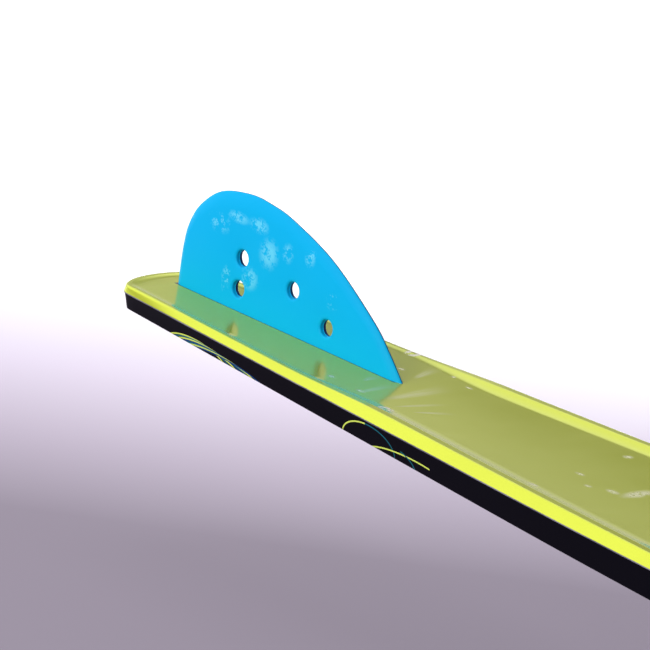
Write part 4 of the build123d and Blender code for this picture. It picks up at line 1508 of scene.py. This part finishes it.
@dataclass(frozen=True)
class Studio:
    """The camera, the paper floor and the lights."""

    azimuth: float = 45.526
    elevation: float = 16.257
    roll: float = 8.223
    distance: float = 2.5
    lens: float = 269.0
    aim_from_fin: tuple[float, float, float] = (0.1145, 0.0026, 0.01201)
    windows: tuple[Window, ...] = (
        Window((-0.788, -0.287, 0.545), (0.6, 0.9), (0.05, 0.2), 1.6),
        Window((-0.685, 0.54, 0.488), (0.9, 0.97), (0.335, 0.45), 1.4),
    )
    softboxes: tuple[Softbox, ...] = (
        Softbox("side_softbox", (0.2, -2.5, 0.9), (0.1, 0.0, 0.0), 1.9, 1.6, 5.9),
        Softbox("floor_light", (-1.9, 1.9, 2.4), (-1.7, 1.7, -0.14), 2.4, 2.4, 4.0, 60.0),
    )

    def back(self) -> Vector:
        """Direction from the object to the camera."""
        turn, lift = math.radians(self.azimuth), math.radians(self.elevation)
        return Vector((math.sin(turn) * math.cos(lift), -math.cos(turn) * math.cos(lift), math.sin(lift)))

    def camera(self, aim: Vector) -> None:
        """Sets up the camera so that it looks at a point."""
        back, roll = self.back(), math.radians(self.roll)
        right = (-back).cross(Vector((0.0, 0.0, 1.0))).normalized()
        up = right.cross(-back)
        side = right * math.cos(roll) + up * math.sin(roll)
        top = up * math.cos(roll) - right * math.sin(roll)
        data = bpy.data.cameras.new("camera")
        data.lens = self.lens
        data.sensor_width = 36.0
        data.clip_start = 0.05
        data.clip_end = 200.0
        camera = bpy.data.objects.new("camera", data)
        turned = Matrix((side, top, back)).transposed().to_4x4()
        camera.matrix_world = Matrix.Translation(aim + back * self.distance) @ turned
        bpy.context.scene.collection.objects.link(camera)
        bpy.context.scene.camera = camera

    def floor(self) -> None:
        """Lays a large pale paper floor that glows a little, with painted shade and light on it: a grey band on
        its near side stands in for soft shadow and the fall-off of the light there, and beyond it the floor is
        painted brighter up to white.
        """
        bm = bmesh.new()
        bmesh.ops.create_grid(bm, x_segments=1, y_segments=1, size=60.0)
        mesh = bpy.data.meshes.new("floor")
        bm.to_mesh(mesh)
        bm.free()
        floor = bpy.data.objects.new("floor", mesh)
        floor.location.z = CAD_BOX[0][2] - 0.0005
        bpy.context.scene.collection.objects.link(floor)
        made = Material("floor_paper", (0.8, 0.78, 0.84), 0.9, Specular_IOR_Level=0.1, Emission_Strength=0.62)
        shader = made.shader
        back = self.back()
        away = Vector((-back.x, -back.y, 0.0)).normalized()
        distance = shader.vector("DOT_PRODUCT", made.place(), tuple(away))
        span = shader.add("ShaderNodeMapRange", {0: distance, 1: -4.0, 2: 0.9}).outputs[0]
        shade = shader.add("ShaderNodeValToRGB", {0: span})
        # Painted shade and light along the view: pale near the camera, then a grey band of painted shadow, then
        # brighter to white far away.
        stops = ((0.0, (0.85, 0.82, 0.88)), (0.5, (0.31, 0.27, 0.335)), (0.898, (0.31, 0.27, 0.335)),
                 (0.923, (0.5, 0.44, 0.54)), (0.954, (0.74, 0.67, 0.8)), (1.0, (1.0, 1.0, 1.0)))
        ramp = shade.color_ramp
        ramp.elements[0].position, ramp.elements[1].position = stops[0][0], stops[-1][0]
        for place, _ in stops[1:-1]:
            ramp.elements.new(place)
        for element, (_, colour) in zip(ramp.elements, stops):
            element.color = (*colour, 1.0)
        # Painted light: the floor also glows with the same gradient, so it is partly self-lit.
        made.put("Base Color", shader.mix(0.45, shade.outputs[0], (0.0, 0.0, 0.0)))
        made.put("Emission Color", shade.outputs[0])
        mesh.materials.append(made.data)

    def world(self) -> None:
        """Makes the room's dim light, which is brightest near the horizon."""
        world = bpy.data.worlds.new("studio")
        bpy.context.scene.world = world
        world.use_nodes = True
        shader = Shader(world.node_tree)
        background = world.node_tree.nodes["Background"]
        sky = shader.add("ShaderNodeTexCoord").outputs["Generated"]
        height = shader.parts(sky)[2]
        back = self.back()
        behind = shader.vector("DOT_PRODUCT", sky, (-back.x, -back.y, 0.0))
        glow = shader.mix(shader.ramp(height, 0.262, 0.325), (0.72, 0.7, 0.74), (0.15, 0.145, 0.16))
        room = shader.mix(shader.ramp(behind, -0.1, 0.6), (0.14, 0.135, 0.15), glow)
        for window in self.windows:
            near = shader.vector("DOT_PRODUCT", sky, window.direction)
            lit = shader.math("MULTIPLY", shader.ramp(near, *window.cone), shader.ramp(height, *window.sill))
            room = shader.mix(lit, room, (window.radiance,) * 3)
        seen = shader.add("ShaderNodeLightPath").outputs["Is Camera Ray"]
        shader.set(background.inputs["Color"], shader.mix(seen, room, (0.95, 0.94, 0.97)))
        background.inputs["Strength"].default_value = 1.0

    def make(self) -> None:
        """Builds the whole studio."""
        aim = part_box("fin_a")[0] + Vector(self.aim_from_fin)
        bpy.context.scene.view_settings.view_transform = "Standard"
        self.camera(aim)
        self.floor()
        self.world()
        for softbox in self.softboxes:
            softbox.hang(aim)


def main() -> None:
    """Builds the studio and the pair of skis."""
    logging.basicConfig(level=logging.INFO, format="%(name)s %(message)s")
    make_effects()
    Studio().make()
    plan = Plan()
    shells = [SkiShell(ski, plan) for ski in "ab"]
    fins = [FinBlade(ski) for ski in "ab"]
    finishes = Finishes({shell.ski: shell.origin for shell in shells}, {fin.ski: fin.origin for fin in fins})
    for shell in shells:
        shell.make(finishes)
    for fin in fins:
        fin.make(finishes)
        Binding(fin.ski).make(finishes)
    dress(finishes)


if __name__ == "__main__":
    main()
